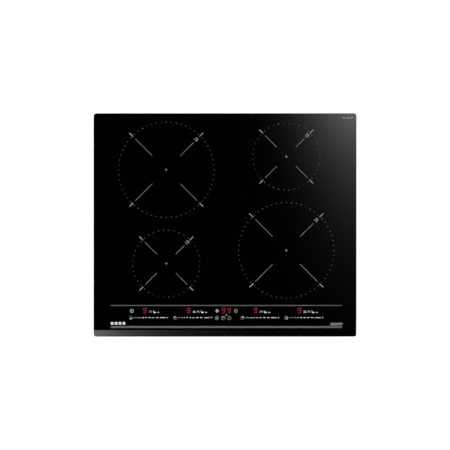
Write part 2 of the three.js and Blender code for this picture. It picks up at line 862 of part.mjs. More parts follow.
// A cross-head screw through the arm and the casing, into a pressed thread
function clampScrew() {
  const { bottom, shank } = CLAMP;
  const [head, headBottom] = [5, 0.9];
  const headTop = bottom - GAP;
  const screw = turned(
    [
      [0, headBottom],
      [head - 1.2, headBottom],
      [head, headBottom + 1],
      [head, headTop],
      [shank, headTop],
      [shank, CASE.step + 7],
      [0, CASE.step + 8],
    ],
    12,
  );
  const cross = [[2.6, 0.5], [0.5, 2.6]].map(([x, y]) => block([-x, -y, 0], [x, y, 2.3]));
  return cut(screw, ...cross);
}

function addClamps(hob) {
  for (const [end, endName] of [[-1, "front"], [1, "back"]]) {
    for (const [side, sideName] of [[-1, "left"], [1, "right"]]) {
      const corner = new THREE.Group();
      corner.position.set(side * CLAMP.x, end * CLAMP.y, 0);
      hob.add(corner);
      const name = `${endName}_${sideName}`;
      const arm = part(`clamp_arm_${name}`, clampArm(), FINISH.zinc, corner);
      arm.rotation.z = end > 0 ? Math.PI : 0; // points towards the middle of the side
      part(`clamp_screw_${name}`, clampScrew(), FINISH.zinc, corner);
    }
  }
}

// ---------------------------------------------------------------- assembly

const hob = new THREE.Group();
addGlass(hob);
part("casing_tray", casingTray(), FINISH.steel, hob);
for (const [side, name] of [[-1, "left"], [1, "right"]]) {
  part(`coil_tray_${name}`, coilTray(side), FINISH.aluminium, hob);
  addPower(hob, side, name);
  addFan(hob, side, name);
}
for (const [name, zone] of Object.entries(ZONES)) addCoil(hob, name, zone);
addMains(hob);
addTouchPanel(hob);
addClamps(hob);

export default hob;
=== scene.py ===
"""Looks of a built-in induction hob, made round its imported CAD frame.

Lengths are metres in the frame's own axes: the bevelled front edge and the touch panel face -Y,
the cook sees +X on the right, and the underside of the casing lies on z = 0. Each operator makes
one group of pieces from surfaces worked out with numpy and hides the plain CAD nodes that the
pieces stand for.
"""

import json
import math
from collections import namedtuple

import bmesh
import bpy
import numpy as np
from bpy.props import FloatProperty, FloatVectorProperty, PointerProperty
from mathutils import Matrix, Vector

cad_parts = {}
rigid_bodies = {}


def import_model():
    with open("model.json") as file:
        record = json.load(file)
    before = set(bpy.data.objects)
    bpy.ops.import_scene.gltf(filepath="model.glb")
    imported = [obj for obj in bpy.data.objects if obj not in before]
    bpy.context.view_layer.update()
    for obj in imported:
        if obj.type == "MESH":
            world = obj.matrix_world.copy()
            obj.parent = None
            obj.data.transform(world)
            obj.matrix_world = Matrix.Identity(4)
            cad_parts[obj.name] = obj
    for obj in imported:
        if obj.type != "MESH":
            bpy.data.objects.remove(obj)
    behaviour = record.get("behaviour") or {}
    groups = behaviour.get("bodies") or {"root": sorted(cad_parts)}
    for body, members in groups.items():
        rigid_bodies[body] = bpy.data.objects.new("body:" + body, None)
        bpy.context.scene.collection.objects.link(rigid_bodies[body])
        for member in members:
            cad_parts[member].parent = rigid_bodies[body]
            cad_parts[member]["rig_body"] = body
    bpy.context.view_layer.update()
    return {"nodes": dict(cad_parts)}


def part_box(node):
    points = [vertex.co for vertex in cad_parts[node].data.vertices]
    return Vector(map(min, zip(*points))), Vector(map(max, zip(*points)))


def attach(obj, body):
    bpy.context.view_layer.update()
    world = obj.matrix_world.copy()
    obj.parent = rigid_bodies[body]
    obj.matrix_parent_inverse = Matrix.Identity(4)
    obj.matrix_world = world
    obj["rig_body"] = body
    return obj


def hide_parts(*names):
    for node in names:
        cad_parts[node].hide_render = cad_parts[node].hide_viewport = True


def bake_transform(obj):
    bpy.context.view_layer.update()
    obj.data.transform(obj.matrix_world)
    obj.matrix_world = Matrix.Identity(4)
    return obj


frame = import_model()

bl_info = {
    "name": "Induction hob",
    "version": (1, 0, 0),
    "blender": (4, 5, 0),
    "location": "3D View > Sidebar > Hob",
    "description": "Glass, printing, casing and inner parts of a built-in induction hob",
    "category": "Object",
}

# ------------------------------------------------------------------ places taken from the frame

MM = 0.001
ROOT = "hob"
SIDES = ("left", "right")
CORNERS = ("front_left", "front_right", "back_left", "back_right")
LARGE_ZONES = ("back_left", "front_right")
SMALL_ZONES = ("front_left", "back_right")


# A CAD node's box: two corners, its size, and the middle of its underside
Extent = namedtuple("Extent", "low high size foot")


def extent(node):
    """The box of a CAD node."""
    low, high = (np.array(corner, float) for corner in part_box(node))
    return Extent(low, high, high - low, np.append((low + high)[:2] / 2, low[2]))


GLASS = extent("glass_plate")
GLASS_TOP = GLASS.high[2]


# ------------------------------------------------------------------ places on the touch panel

LINE_LEFT, LINE_RIGHT = -261 * MM, 267 * MM
UPPER_LINE = (-183.65 * MM, 2.0 * MM)  # y of its middle, and its width
LOWER_LINE = (-232.8 * MM, 4.4 * MM)
DIGIT_ROW = -195.05 * MM
ROUND_ROW = -195.9 * MM
SYMBOL_ROW = -197.9 * MM
SELECTOR_ROW = -211.7 * MM
KEY_ROW = -212.2 * MM
SLIDER_ROW = -211.4 * MM

# Each zone's controls: x of its selector and of its display, how many function symbols follow
# the display, and the quarter of the selector that is filled, counted from the upper right
Control = namedtuple("Control", "selector display symbols quarter")
CONTROLS = (
    Control(-214.0 * MM, -183.3 * MM, 3, 2),
    Control(-113.6 * MM, -83.5 * MM, 4, 1),
    Control(39.5 * MM, 69.6 * MM, 3, 0),
    Control(139.8 * MM, 169.5 * MM, 4, 3),
)
FIRST_FUNCTION, FUNCTION_PITCH = 12.95 * MM, 9.1 * MM  # from a display to its symbols
TIMER_DIGITS = (-3.5 * MM, 9.6 * MM)
TIMER_ARROW = (3.0 * MM, -205.2 * MM)
LEFT_TURN, RIGHT_TURN, WIPE = -212.5 * MM, 24.6 * MM, -18.1 * MM
PAUSE, CLOCK, POWER = -18.0 * MM, -4.0 * MM, 10.2 * MM


# ------------------------------------------------------------------ settings

def length(name, description, default):
    """A size in metres."""
    return FloatProperty(
        name=name, description=description, default=default, min=0.0, precision=5,
        subtype="DISTANCE", unit="LENGTH",
    )


def share(name, description, default, high=1.0):
    """A plain number."""
    return FloatProperty(name=name, description=description, default=default, min=0.0, max=high)


def colour(name, description, default):
    """A linear colour."""
    return FloatVectorProperty(
        name=name, description=description, default=default, size=3, min=0.0, max=1.0,
        subtype="COLOR",
    )


class HobGlassSettings(bpy.types.PropertyGroup):
    corner: length("Corner radius", "Radius of the plate's corners seen from above", 6 * MM)
    arris: length("Arris radius", "Radius of the ground edges", 0.55 * MM)
    facet_run: length("Facet width", "Width of the front facet seen from above", 15 * MM)
    facet_drop: length("Facet drop", "How far the facet falls towards the front", 2.2 * MM)
    tint: colour("Glass colour", "Body colour of the glass-ceramic", (0.0002, 0.0002, 0.00024))
    gloss: share("Roughness", "Roughness of the polished top", 0.035)


class HobPrintSettings(bpy.types.PropertyGroup):
    thickness: length("Ink thickness", "How far the printing stands above the glass", 0.03 * MM)
    large_ring: length("Large ring radius", "Radius of the large dotted rings", 109.1 * MM)
    small_ring: length("Small ring radius", "Radius of the small dotted rings", 76.6 * MM)
    dot: length("Dot diameter", "Diameter of a dot in a ring", 1.4 * MM)
    line: length("Line width", "Width of the fine lines of a cross", 0.8 * MM)
    tick: length("Tick width", "Width of the marks that point out from a ring", 1.6 * MM)
    pale: colour("Pale ink", "Ink of the rings, crosses and symbols", (0.36, 0.36, 0.37))
    grey: colour("Grey ink", "Ink of the two long lines", (0.11, 0.11, 0.11))


class HobPanelSettings(bpy.types.PropertyGroup):
    digit_height: length("Digit height", "Height of a display digit", 11.8 * MM)
    digit_width: length("Digit width", "Width of a display digit", 7.3 * MM)
    digit_stroke: length("Segment width", "Width of one segment", 0.95 * MM)
    digit_red: colour("Digit colour", "Light of the displays", (0.39, 0.035, 0.069))
    halo_red: colour("Halo colour", "Light scattered round the displays", (0.045, 0.0, 0.0015))
    symbol: length("Symbol size", "Diameter of a round symbol", 8.4 * MM)


class HobCasingSettings(bpy.types.PropertyGroup):
    edge: length("Edge radius", "Rounding of the sheet's edges", 0.3 * MM)
    spangle: length("Spangle size", "Size of the zinc crystals", 7 * MM)
    steel: colour("Steel colour", "Zinc-coated sheet", (0.46, 0.47, 0.48))
    foam: colour("Foam colour", "Worktop seal", (0.03, 0.03, 0.032))


class HobCoilSettings(bpy.types.PropertyGroup):
    strand: length("Litz diameter", "Diameter of the wound litz wire", 3.2 * MM)
    pitch: length("Winding pitch", "Distance between turns", 3.35 * MM)
    spring_wire: length("Spring wire", "Diameter of the coil spring's wire", 1.4 * MM)
    copper: colour("Copper colour", "Enamelled copper", (0.5, 0.19, 0.075))
    mica: colour("Mica colour", "Insulating sheet", (0.42, 0.36, 0.25))


class HobInsideSettings(bpy.types.PropertyGroup):
    board: colour("Board colour", "Lacquer of the circuit boards", (0.012, 0.11, 0.045))
    edge: length("Edge radius", "Rounding of moulded edges", 0.4 * MM)


class HobStageSettings(bpy.types.PropertyGroup):
    lens: FloatProperty(name="Lens", description="Focal length in millimetres", default=200.0)
    view_width: length("View width", "Width seen at the glass", 1026.9 * MM)
    floor: colour("Floor colour", "Pale floor", (0.5, 0.5, 0.5))
    floor_glow: share("Floor glow", "Light given off by the floor", 0.8, 5.0)
    key: FloatProperty(
        name="Key light", description="Power of each soft light in watts", default=128.0)
    surround: share("Surround", "Brightness of the studio walls", 1.0, 5.0)


SETTINGS = (
    ("hob_glass", HobGlassSettings),
    ("hob_print", HobPrintSettings),
    ("hob_panel", HobPanelSettings),
    ("hob_casing", HobCasingSettings),
    ("hob_coils", HobCoilSettings),
    ("hob_inside", HobInsideSettings),
    ("hob_stage", HobStageSettings),
)


# ------------------------------------------------------------------ surfaces

Shell = namedtuple("Shell", "points quads triangles uv")


def loft(rings, closed=False, ends=None):
    """Skin over a stack of closed rings of points, an array (rings, points round, 3).

    Each face joins two neighbours of one ring to the same two of the next. With `closed` the
    last ring joins the first; otherwise each end is a fan round `ends`, or round its own middle.
    Rings that run anticlockwise, seen from the far end of the stack, give outward faces.
    """
    count, around = rings.shape[:2]
    index = np.arange(count * around).reshape(count, around)
    points = rings.reshape(-1, 3)
    steps = np.linalg.norm(np.diff(rings, axis=0, append=rings[:1]), axis=2).mean(axis=1)
    along = np.concatenate([[0.0], np.cumsum(steps)])
    if closed:
        index = np.vstack([index, index[:1]])
    low, high = index[:-1], index[1:]
    quads = np.stack([low, np.roll(low, -1, 1), np.roll(high, -1, 1), high], -1).reshape(-1, 4)
    rows = len(low)
    u = np.broadcast_to(along[:rows, None], low.shape)
    u_next = np.broadcast_to(along[1:rows + 1, None], low.shape)
    v = np.broadcast_to(np.arange(around) / around, low.shape)
    v_next = v + 1 / around
    corners = [(u, v), (u, v_next), (u_next, v_next), (u_next, v)]
    uv = np.stack([np.stack(corner, -1) for corner in corners], 2).reshape(-1, 4, 2)
    if closed:
        return Shell(points, quads, np.empty((0, 3), int), uv)
    tips = rings[[0, -1]].mean(axis=1) if ends is None else np.asarray(ends, float)
    bottom, top = index[0], index[-1]
    first, last = len(points), len(points) + 1
    fans = np.concatenate([
        np.stack([np.full(around, first), np.roll(bottom, -1), bottom], -1),
        np.stack([np.full(around, last), top, np.roll(top, -1)], -1),
    ])
    return Shell(np.vstack([points, tips]), quads, fans, uv)


def moved(shell, offset):
    """The shell shifted by an offset."""
    return shell._replace(points=shell.points + np.asarray(offset, float))


def turned_about(shell, angle):
    """The shell turned about the upright axis: (x, y) times a rotation matrix."""
    cosine, sine = math.cos(angle), math.sin(angle)
    rotation = np.array([[cosine, sine, 0.0], [-sine, cosine, 0.0], [0.0, 0.0, 1.0]])
    return shell._replace(points=shell.points @ rotation)


def copies(shell, places):
    """One shell repeated at each offset of `places`, an array (copies, 3)."""
    places = np.atleast_2d(np.asarray(places, float))
    count, size = len(places), len(shell.points)
    shift = (np.arange(count) * size)[:, None, None]
    return Shell(
        (shell.points + places[:, None]).reshape(-1, 3),
        (shell.quads + shift).reshape(-1, 4),
        (shell.triangles + shift).reshape(-1, 3),
        np.tile(shell.uv, (count, 1, 1)),
    )


def together(shells):
    """Several shells as one."""
    starts = np.cumsum([0] + [len(shell.points) for shell in shells[:-1]])
    return Shell(
        np.vstack([shell.points for shell in shells]),
        np.vstack([shell.quads + start for shell, start in zip(shells, starts)]),
        np.vstack([shell.triangles + start for shell, start in zip(shells, starts)]),
        np.vstack([shell.uv for shell in shells]),
    )


def rectangle(centre, size, radius, steps=6):
    """Outline of a rectangle with quarter-circle corners, as a function of inset.

    Each corner is its own centre plus r (cos a, sin a), with a over that corner's quarter turn.
    """
    quarter = np.linspace(0.0, np.pi / 2, steps + 1)
    angle = (np.arange(4)[:, None] * np.pi / 2 + quarter).ravel()
    sign = np.repeat([[1, 1], [-1, 1], [-1, -1], [1, -1]], steps + 1, axis=0)
    direction = np.column_stack([np.cos(angle), np.sin(angle)])

    def outline(inset=0.0):
        rounding = max(radius - inset, 0.02 * radius)
        reach = np.asarray(size, float) / 2 - inset - rounding
        return np.asarray(centre, float) + sign * reach + rounding * direction

    return outline


def slab(outline, low, high, edge=0.0, steps=3):
    """Upright solid on an outline, with quarter-round arrises.

    At an arris the outline is drawn in by e (1 - sin a) where the height has risen e (1 - cos a).
    """
    if edge == 0.0:
        insets, levels = np.zeros(2), np.array([low, high])
    else:
        angle = np.linspace(0.0, np.pi / 2, steps + 1)
        inset, rise = edge * (1 - np.sin(angle)), edge * (1 - np.cos(angle))
        insets = np.concatenate([inset, inset[::-1]])
        levels = np.concatenate([low + rise, high - rise[::-1]])
    rings = [
        np.column_stack([points, np.full(len(points), level)])
        for points, level in ((outline(inset), level) for inset, level in zip(insets, levels))
    ]
    return loft(np.array(rings))


def box(low, high, edge):
    """Rounded box between two corners."""
    low, high = np.asarray(low, float), np.asarray(high, float)
    outline = rectangle((low + high)[:2] / 2, (high - low)[:2], edge, 3)
    return slab(outline, low[2], high[2], edge, 2)


def turned(profile, centre, sides, closed=False):
    """A profile of (radius, height) rows turned about an upright axis: (r cos a, r sin a, h).

    An open profile starts and ends on the axis. A closed one runs up the outside and back down
    the inside.
    """
    profile = np.asarray(profile, float)
    centre = np.asarray(centre, float)
    angle = np.arange(sides) * 2 * np.pi / sides
    rows = profile if closed else profile[1:-1]
    rings = np.stack([
        rows[:, :1] * np.cos(angle),
        rows[:, :1] * np.sin(angle),
        np.broadcast_to(rows[:, 1:], (len(rows), sides)),
    ], -1) + centre
    tips = None if closed else [centre + [0, 0, profile[0, 1]], centre + [0, 0, profile[-1, 1]]]
    return loft(rings, closed, tips)


def rounded_profile(points, radius, steps=4):
    """A closed profile with each corner replaced by a curve.

    Between a point before the corner and one after it the curve is the quadratic Bezier
    (1-t)^2 a + 2t(1-t) corner + t^2 b.
    """
    points = np.asarray(points, float)
    before, after = np.roll(points, 1, 0) - points, np.roll(points, -1, 0) - points
    reach = np.minimum(radius, 0.45 * np.minimum(
        np.linalg.norm(before, axis=1), np.linalg.norm(after, axis=1)))[:, None]
    start = points + before / np.linalg.norm(before, axis=1)[:, None] * reach
    end = points + after / np.linalg.norm(after, axis=1)[:, None] * reach
    t = np.linspace(0, 1, steps + 1)[None, :, None]
    curve = (
        (1 - t) ** 2 * start[:, None]
        + 2 * t * (1 - t) * points[:, None]
        + t ** 2 * end[:, None]
    )
    return curve.reshape(-1, 2)


def swept(path, profile, closed=False, sideways=None):
    """A profile carried along a path: path + s * sideways + h * upwards.

    Unless it is given, sideways is level and square to the path, on its left. Upwards completes
    the frame. The profile's (s, h) rows run anticlockwise, seen looking back along the path.
    """
    path = np.asarray(path, float)
    if closed:
        ahead = np.roll(path, -1, 0) - np.roll(path, 1, 0)
    else:
        ahead = np.gradient(path, axis=0)
    ahead /= np.linalg.norm(ahead, axis=1)[:, None]
    if sideways is None:
        sideways = np.cross([0.0, 0.0, 1.0], ahead)
    sideways = sideways - (sideways * ahead).sum(axis=1)[:, None] * ahead
    sideways /= np.linalg.norm(sideways, axis=1)[:, None]
    upwards = np.cross(ahead, sideways)
    profile = np.asarray(profile, float)
    rings = (
        path[:, None]
        + profile[None, :, :1] * sideways[:, None]
        + profile[None, :, 1:] * upwards[:, None]
    )
    return loft(rings, closed)


def round_profile(radius, sides):
    """Rows of a circle: (r cos a, r sin a)."""
    angle = np.arange(sides) * 2 * np.pi / sides
    return radius * np.column_stack([np.cos(angle), np.sin(angle)])


def flat_profile(width, low, high):
    """Rows of an upright rectangle, from `low` to `high` above the path."""
    half = width / 2
    return np.array([[-half, low], [half, low], [half, high], [-half, high]])


# ------------------------------------------------------------------ pieces

def finish_mesh(mesh, sharp_angle):
    """Smooth shading with an edge wherever faces meet at more than the angle."""
    mesh.polygons.foreach_set("use_smooth", np.ones(len(mesh.polygons), bool))
    mesh.set_sharp_from_angle(angle=sharp_angle)
    mesh.update()


def piece(name, parts, body=ROOT, stands_for=(), sharp=35, gives=None):
    """Makes one object from (shell, finish) pairs and lets it ride on a body, unless it gives, when
    its place is baked into its mesh and it rides on none.
    """
    shells = [shell for shell, _ in parts]
    whole = together(shells)
    mesh = bpy.data.meshes.new(name)
    quads, fans = whole.quads, whole.triangles
    mesh.vertices.add(len(whole.points))
    mesh.vertices.foreach_set("co", whole.points.astype(np.float32).ravel())
    mesh.loops.add(quads.size + fans.size)
    mesh.loops.foreach_set("vertex_index", np.concatenate([quads.ravel(), fans.ravel()]))
    mesh.polygons.add(len(quads) + len(fans))
    starts = np.concatenate([
        np.arange(len(quads)) * 4,
        quads.size + np.arange(len(fans)) * 3,
    ])
    mesh.polygons.foreach_set("loop_start", starts)
    finishes = list(dict.fromkeys(finish for _, finish in parts))
    numbers = [finishes.index(finish) for _, finish in parts]
    mesh.polygons.foreach_set("material_index", np.concatenate(
        [np.full(len(shell.quads), number) for shell, number in zip(shells, numbers)]
        + [np.full(len(shell.triangles), number) for shell, number in zip(shells, numbers)]
    ))
    for finish in finishes:
        mesh.materials.append(finish)
    layer = mesh.uv_layers.new(name="along_and_round")
    layer.data.foreach_set("uv", np.concatenate(
        [whole.uv.ravel(), np.zeros(fans.size * 2)]).astype(np.float32))
    mesh.update(calc_edges=True)
    finish_mesh(mesh, math.radians(sharp))
    return placed(bpy.data.objects.new(name, mesh), body, stands_for, gives)


def placed(made, body, stands_for=(), gives=None):
    """Links a finished object, and says what it rides on, unless it gives, and which nodes it stands
    for.

    A piece that gives has one end on its body and the other on a second one, but here it rides on no
    body: its place is baked into its mesh. `gives` holds the second body, the point where the piece
    leaves the first and the point where it meets it; these are not used, only whether `gives` is
    given.
    """
    bpy.context.scene.collection.objects.link(made)
    if gives:
        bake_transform(made)
    else:
        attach(made, body)
    if stands_for:
        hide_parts(*stands_for)
    return made


def raised_groups(work, level):
    """Groups of joined faces that stand above a level, in a fixed order."""
    waiting = {face.index for face in work.faces if face.calc_center_median().z > level}
    groups = []
    while waiting:
        front, group = [min(waiting)], []
        waiting -= set(front)
        while front:
            group.append(front.pop())
            edges = work.faces[group[-1]].edges
            near = {face.index for edge in edges for face in edge.link_faces} & waiting
            waiting -= near
            front += sorted(near)
        groups.append(group)
    return groups


def fit_components(work, level, sleeve, case, chip):
    """Gives each component of a board a finish by its shape: round, tall or low."""
    clear, low = 0.2 * MM, 8 * MM
    box_faces = 6
    work.faces.ensure_lookup_table()
    for group in raised_groups(work, level + clear):
        height = max(v.co.z for number in group for v in work.faces[number].verts) - level
        if height < low:
            kind = chip
        elif len(group) > box_faces:
            kind = sleeve
        else:
            kind = case
        for number in group:
            work.faces[number].material_index = kind


def merge_points(work):
    """Makes one point of those that lie within two thousandths of a millimetre."""
    bmesh.ops.remove_doubles(work, verts=work.verts, dist=0.002 * MM)


def evaluated_mesh(thing):
    """The mesh that an object shows, as new data."""
    bpy.context.view_layer.update()
    graph = bpy.context.evaluated_depsgraph_get()
    return bpy.data.meshes.new_from_object(thing.evaluated_get(graph))


def refined(node, finish, edge, components=None):
    """A copy of a CAD node with merged points and rounded edges, which stands for that node.

    `components` is the height of a board's upper face and the finishes of what stands on it.
    """
    source = frame["nodes"][node]
    mesh = source.data.copy()
    work = bmesh.new()
    work.from_mesh(mesh)
    merge_points(work)
    bmesh.ops.dissolve_limit(
        work, angle_limit=math.radians(0.5), verts=work.verts, edges=work.edges)
    for face in work.faces:
        face.material_index = 0
    mesh.materials.clear()
    mesh.materials.append(finish)
    if components:
        level, finishes = components
        fit_components(work, level, *range(1, 1 + len(finishes)))
        for extra in finishes:
            mesh.materials.append(extra)
    work.to_mesh(mesh)
    work.free()
    made = bpy.data.objects.new(f"{node}_fine", mesh)
    rounding = made.modifiers.new("rounded edges", "BEVEL")
    rounding.width = edge
    rounding.segments = 2
    rounding.limit_method = "ANGLE"
    rounding.angle_limit = math.radians(40)
    rounding.use_clamp_overlap = True
    finish_mesh(mesh, math.radians(35))
    return placed(made, source["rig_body"], (node,))


# ------------------------------------------------------------------ finishes

class Field:
    """A number that varies over a surface. Arithmetic on it adds Math nodes."""

    def __init__(self, graph, socket):
        self.graph, self.socket = graph, socket

    def __add__(self, other):
        return self.graph.maths("ADD", self, other)

    def __radd__(self, other):
        return self.graph.maths("ADD", other, self)

    def __sub__(self, other):
        return self.graph.maths("SUBTRACT", self, other)

    def __rsub__(self, other):
        return self.graph.maths("SUBTRACT", other, self)

    def __mul__(self, other):
        return self.graph.maths("MULTIPLY", self, other)

    def __rmul__(self, other):
        return self.graph.maths("MULTIPLY", other, self)

    def __truediv__(self, other):
        return self.graph.maths("DIVIDE", self, other)

    def __pow__(self, other):
        return self.graph.maths("POWER", self, other)

    def __gt__(self, other):
        return self.graph.maths("GREATER_THAN", self, other)


class Graph:
    """A node tree that is built up from fields."""

    def __init__(self, tree):
        self.tree = tree
        tree.nodes.clear()

    def node(self, kind, settings=None, inputs=None):
        """Adds a node. Its settings, or a ramp's stops, come first, then its sockets."""
        made = self.tree.nodes.new(kind)
        for key, value in (settings or {}).items():
            if key == "stops":
                self.set_stops(made.color_ramp.elements, value)
            else:
                setattr(made, key, value)
        for key, value in (inputs or {}).items():
            self.feed(made.inputs[key], value)
        return made

    @staticmethod
    def set_stops(elements, stops):
        """Gives a ramp its stops of (position, grey)."""
        while len(elements) < len(stops):
            elements.new(0.5)
        for element, (position, grey) in zip(elements, stops):
            element.position = position
            element.color = (grey, grey, grey, 1.0)

    def feed(self, socket, value):
        """Links a field or a socket, or sets a plain value."""
        if isinstance(value, Field):
            value = value.socket
        if isinstance(value, bpy.types.NodeSocket):
            self.tree.links.new(value, socket)
        else:
            socket.default_value = value

    def field(self, kind, settings=None, inputs=None):
        """Adds a node and returns its first output as a field."""
        return Field(self, self.node(kind, settings, inputs).outputs[0])

    def maths(self, operation, *values):
        """A Math node on one or more values."""
        return self.field("ShaderNodeMath", {"operation": operation}, dict(enumerate(values)))

    def limited(self, value):
        """The value kept between 0 and 1."""
        return self.field("ShaderNodeClamp", None, {"Value": value})

    def ramp(self, value, stops):
        """The value passed through a ramp of greys."""
        return self.field("ShaderNodeValToRGB", {"stops": stops}, {0: value})

    def split(self, vector):
        """The three parts of a vector."""
        outputs = self.node("ShaderNodeSeparateXYZ", None, {0: vector}).outputs
        return [Field(self, output) for output in outputs]

    def blend(self, factor, first, second):
        """A colour between two colours."""
        mix = self.node("ShaderNodeMix", {"data_type": "RGBA"}, {0: factor})
        for socket, value in ((mix.inputs[6], first), (mix.inputs[7], second)):
            self.feed(socket, value if isinstance(value, bpy.types.NodeSocket) else (*value, 1.0))
        return mix.outputs[2]


class Finish(Graph):
    """A material with one Principled shader."""

    def __init__(self, name, **constants):
        self.material = bpy.data.materials.new(name)
        self.material.use_nodes = True
        super().__init__(self.material.node_tree)
        self.shader = self.node("ShaderNodeBsdfPrincipled", None, constants)
        self.node("ShaderNodeOutputMaterial", None, {"Surface": self.shader.outputs[0]})
        self.place = self.node("ShaderNodeTexCoord").outputs["Object"]

    def stretched(self, scale):
        """The place on the object, scaled differently along each axis."""
        node = self.node("ShaderNodeMapping", None, {"Vector": self.place, "Scale": scale})
        return node.outputs[0]

    def along_and_round(self):
        """The shell's own two coordinates, along it and round it."""
        along, around, _ = self.split(self.node("ShaderNodeUVMap").outputs[0])
        return along, around

    def noise(self, size, detail, vector=None):
        """Soft noise whose patches are about `size` metres across."""
        inputs = {"Vector": vector or self.place, "Scale": 1 / size, "Detail": detail}
        return self.field("ShaderNodeTexNoise", None, inputs)

    def cells(self, size):
        """A random grey for each cell of about `size` metres."""
        node = self.node("ShaderNodeTexVoronoi", None, {"Vector": self.place, "Scale": 1 / size})
        return self.field("ShaderNodeSeparateColor", None, {0: node.outputs["Color"]})

    def set(self, name, value):
        """Feeds one of the shader's sockets."""
        self.feed(self.shader.inputs[name], value)

    def bump(self, height, depth):
        """Relief of about `depth` metres from a height between 0 and 1."""
        node = self.node("ShaderNodeBump", None, {"Height": height, "Distance": depth})
        self.set("Normal", node.outputs[0])


def shade(base, factor):
    """A colour made lighter or darker."""
    return tuple(min(1.0, channel * factor) for channel in base)


def moulded(name, base, roughness, grain=0.5 * MM):
    """Plastic or rubber: faint flow marks, a spark-eroded grain and uneven gloss."""
    finish = Finish(name)
    flow = finish.noise(18 * MM, 2.0)
    texture = finish.noise(grain, 2.0)
    finish.set("Base Color", finish.blend(flow, shade(base, 0.85), shade(base, 1.15)))
    finish.set("Roughness", finish.limited(roughness - 0.05 + 0.1 * texture))
    finish.bump(texture, 0.02 * MM)
    return finish.material


def rolled(name, base, roughness, along=(1.0, 30.0, 30.0)):
    """Rolled, drawn or plated metal: fine lines in the direction of rolling, and dull patches.

    `along` scales the lines' noise on each axis; where it is even, no direction shows.
    """
    finish = Finish(name)
    lines = finish.noise(12 * MM, 4.0, finish.stretched(along))
    patches = finish.noise(35 * MM, 2.0)
    finish.set("Metallic", 1.0)
    finish.set("Base Color", finish.blend(lines, shade(base, 0.86), shade(base, 1.1)))
    finish.set("Roughness", finish.limited(roughness - 0.08 + 0.1 * lines + 0.08 * patches))
    finish.bump(lines, 0.004 * MM)
    return finish.material


def zinc_sheet(name, base, spangle):
    """Hot-dip zinc: crystals that differ a little in brightness and gloss, under a dull film."""
    finish = Finish(name)
    crystals = finish.cells(spangle)
    film = finish.noise(40 * MM, 3.0)
    scratches = finish.noise(3 * MM, 4.0, finish.stretched((0.15, 6.0, 6.0)))
    tone = 0.55 * crystals + 0.25 * film + 0.2 * scratches
    finish.set("Metallic", 0.9)
    finish.set("Base Color", finish.blend(tone, shade(base, 0.72), shade(base, 1.2)))
    finish.set("Roughness", finish.limited(0.34 + 0.12 * crystals + 0.12 * film))
    finish.bump(crystals + 0.3 * scratches, 0.006 * MM)
    return finish.material


def polished_glass(name, base, roughness):
    """Black glass-ceramic: almost no body colour, a mirror surface with faint wipe marks."""
    finish = Finish(name, IOR=1.5)
    depth = finish.noise(60 * MM, 3.0)
    wiped = finish.noise(25 * MM, 5.0, finish.stretched((1.0, 0.35, 1.0)))
    finish.set("Base Color", finish.blend(depth, shade(base, 0.8), shade(base, 1.25)))
    finish.set("Roughness", finish.limited(roughness + 0.012 * wiped))
    return finish.material


def ground_glass(name, base):
    """The plate's ground edge: dark and satin, with grinding lines along it."""
    finish = Finish(name, IOR=1.5)
    lines = finish.noise(1.5 * MM, 4.0, finish.stretched((0.05, 0.05, 4.0)))
    finish.set("Base Color", finish.blend(lines, shade(base, 15.0), shade(base, 60.0)))
    finish.set("Roughness", finish.limited(0.26 + 0.12 * lines))
    finish.bump(lines, 0.003 * MM)
    return finish.material


def screen_ink(name, base):
    """Fired enamel ink: fine screen grain, a little uneven in density."""
    finish = Finish(name)
    screen = finish.noise(0.25 * MM, 2.0)
    density = finish.noise(9 * MM, 2.0)
    tone = 0.5 * screen + 0.5 * density
    finish.set("Base Color", finish.blend(tone, shade(base, 0.82), shade(base, 1.12)))
    finish.set("Roughness", finish.limited(0.38 + 0.1 * screen))
    finish.bump(screen, 0.003 * MM)
    return finish.material


def lit_segment(name, light):
    """A display segment behind the glass: red light that is strongest in the middle."""
    finish = Finish(name, Roughness=0.12)
    finish.set("Base Color", (0.02, 0.002, 0.003, 1.0))
    cloud = finish.noise(2.5 * MM, 2.0)
    finish.set("Emission Color", finish.blend(cloud, shade(light, 0.75), shade(light, 1.2)))
    finish.set("Emission Strength", 1.0)
    return finish.material


def halo(name, base, light, reach):
    """Glass over a display: a red haze that fades with distance from the digit.

    The shell's first coordinate runs from 0 at the rim to `reach` at the middle.
    """
    finish = Finish(name, IOR=1.5, Roughness=0.04)
    inwards, _ = finish.along_and_round()
    wisps = finish.noise(6 * MM, 2.0)
    fading = finish.limited(((inwards / reach) ** 1.6) * (0.8 + 0.4 * wisps))
    finish.set("Base Color", (*base, 1.0))
    finish.set("Emission Color", finish.blend(fading, (0.0, 0.0, 0.0), light))
    finish.set("Emission Strength", 1.0)
    return finish.material


def litz(name, base, strand):
    """Twisted litz: strands as slanting lines over the wire's own length and girth, their crests
    painted lighter as painted highlight and the grooves between them darker as painted shade.
    """
    finish = Finish(name, Metallic=0.85)
    along, around = finish.along_and_round()
    turns = along / (5 * strand) + around  # one turn in five diameters
    strands = 0.5 + 0.5 * finish.maths("SINE", turns * (2 * math.pi * 8))  # eight strands
    tone = finish.noise(20 * MM, 2.0)
    painted_shade_and_tone = 0.6 * strands + 0.4 * tone
    # painted highlight and shade: the strand pattern lightens each crest and darkens each groove
    # between strands, mixed with a random tone
    finish.set("Base Color", finish.blend(painted_shade_and_tone, shade(base, 0.5), shade(base, 1.25)))
    finish.set("Roughness", finish.limited(0.3 + 0.2 * tone))
    finish.bump(strands, 0.12 * MM)
    return finish.material


def foamed(name, base):
    """Closed-cell foam: small pits all over, painted darker in the pits as painted shade and lighter
    on the raised cells between them.
    """
    finish = Finish(name)
    pits = finish.noise(0.7 * MM, 3.0)
    # painted shade: the same noise as the bump darkens the pits and lightens the raised cells
    finish.set("Base Color", finish.blend(pits, shade(base, 0.7), shade(base, 1.5)))
    finish.set("Roughness", finish.limited(0.85 + 0.1 * pits))
    finish.bump(pits, 0.1 * MM)
    return finish.material


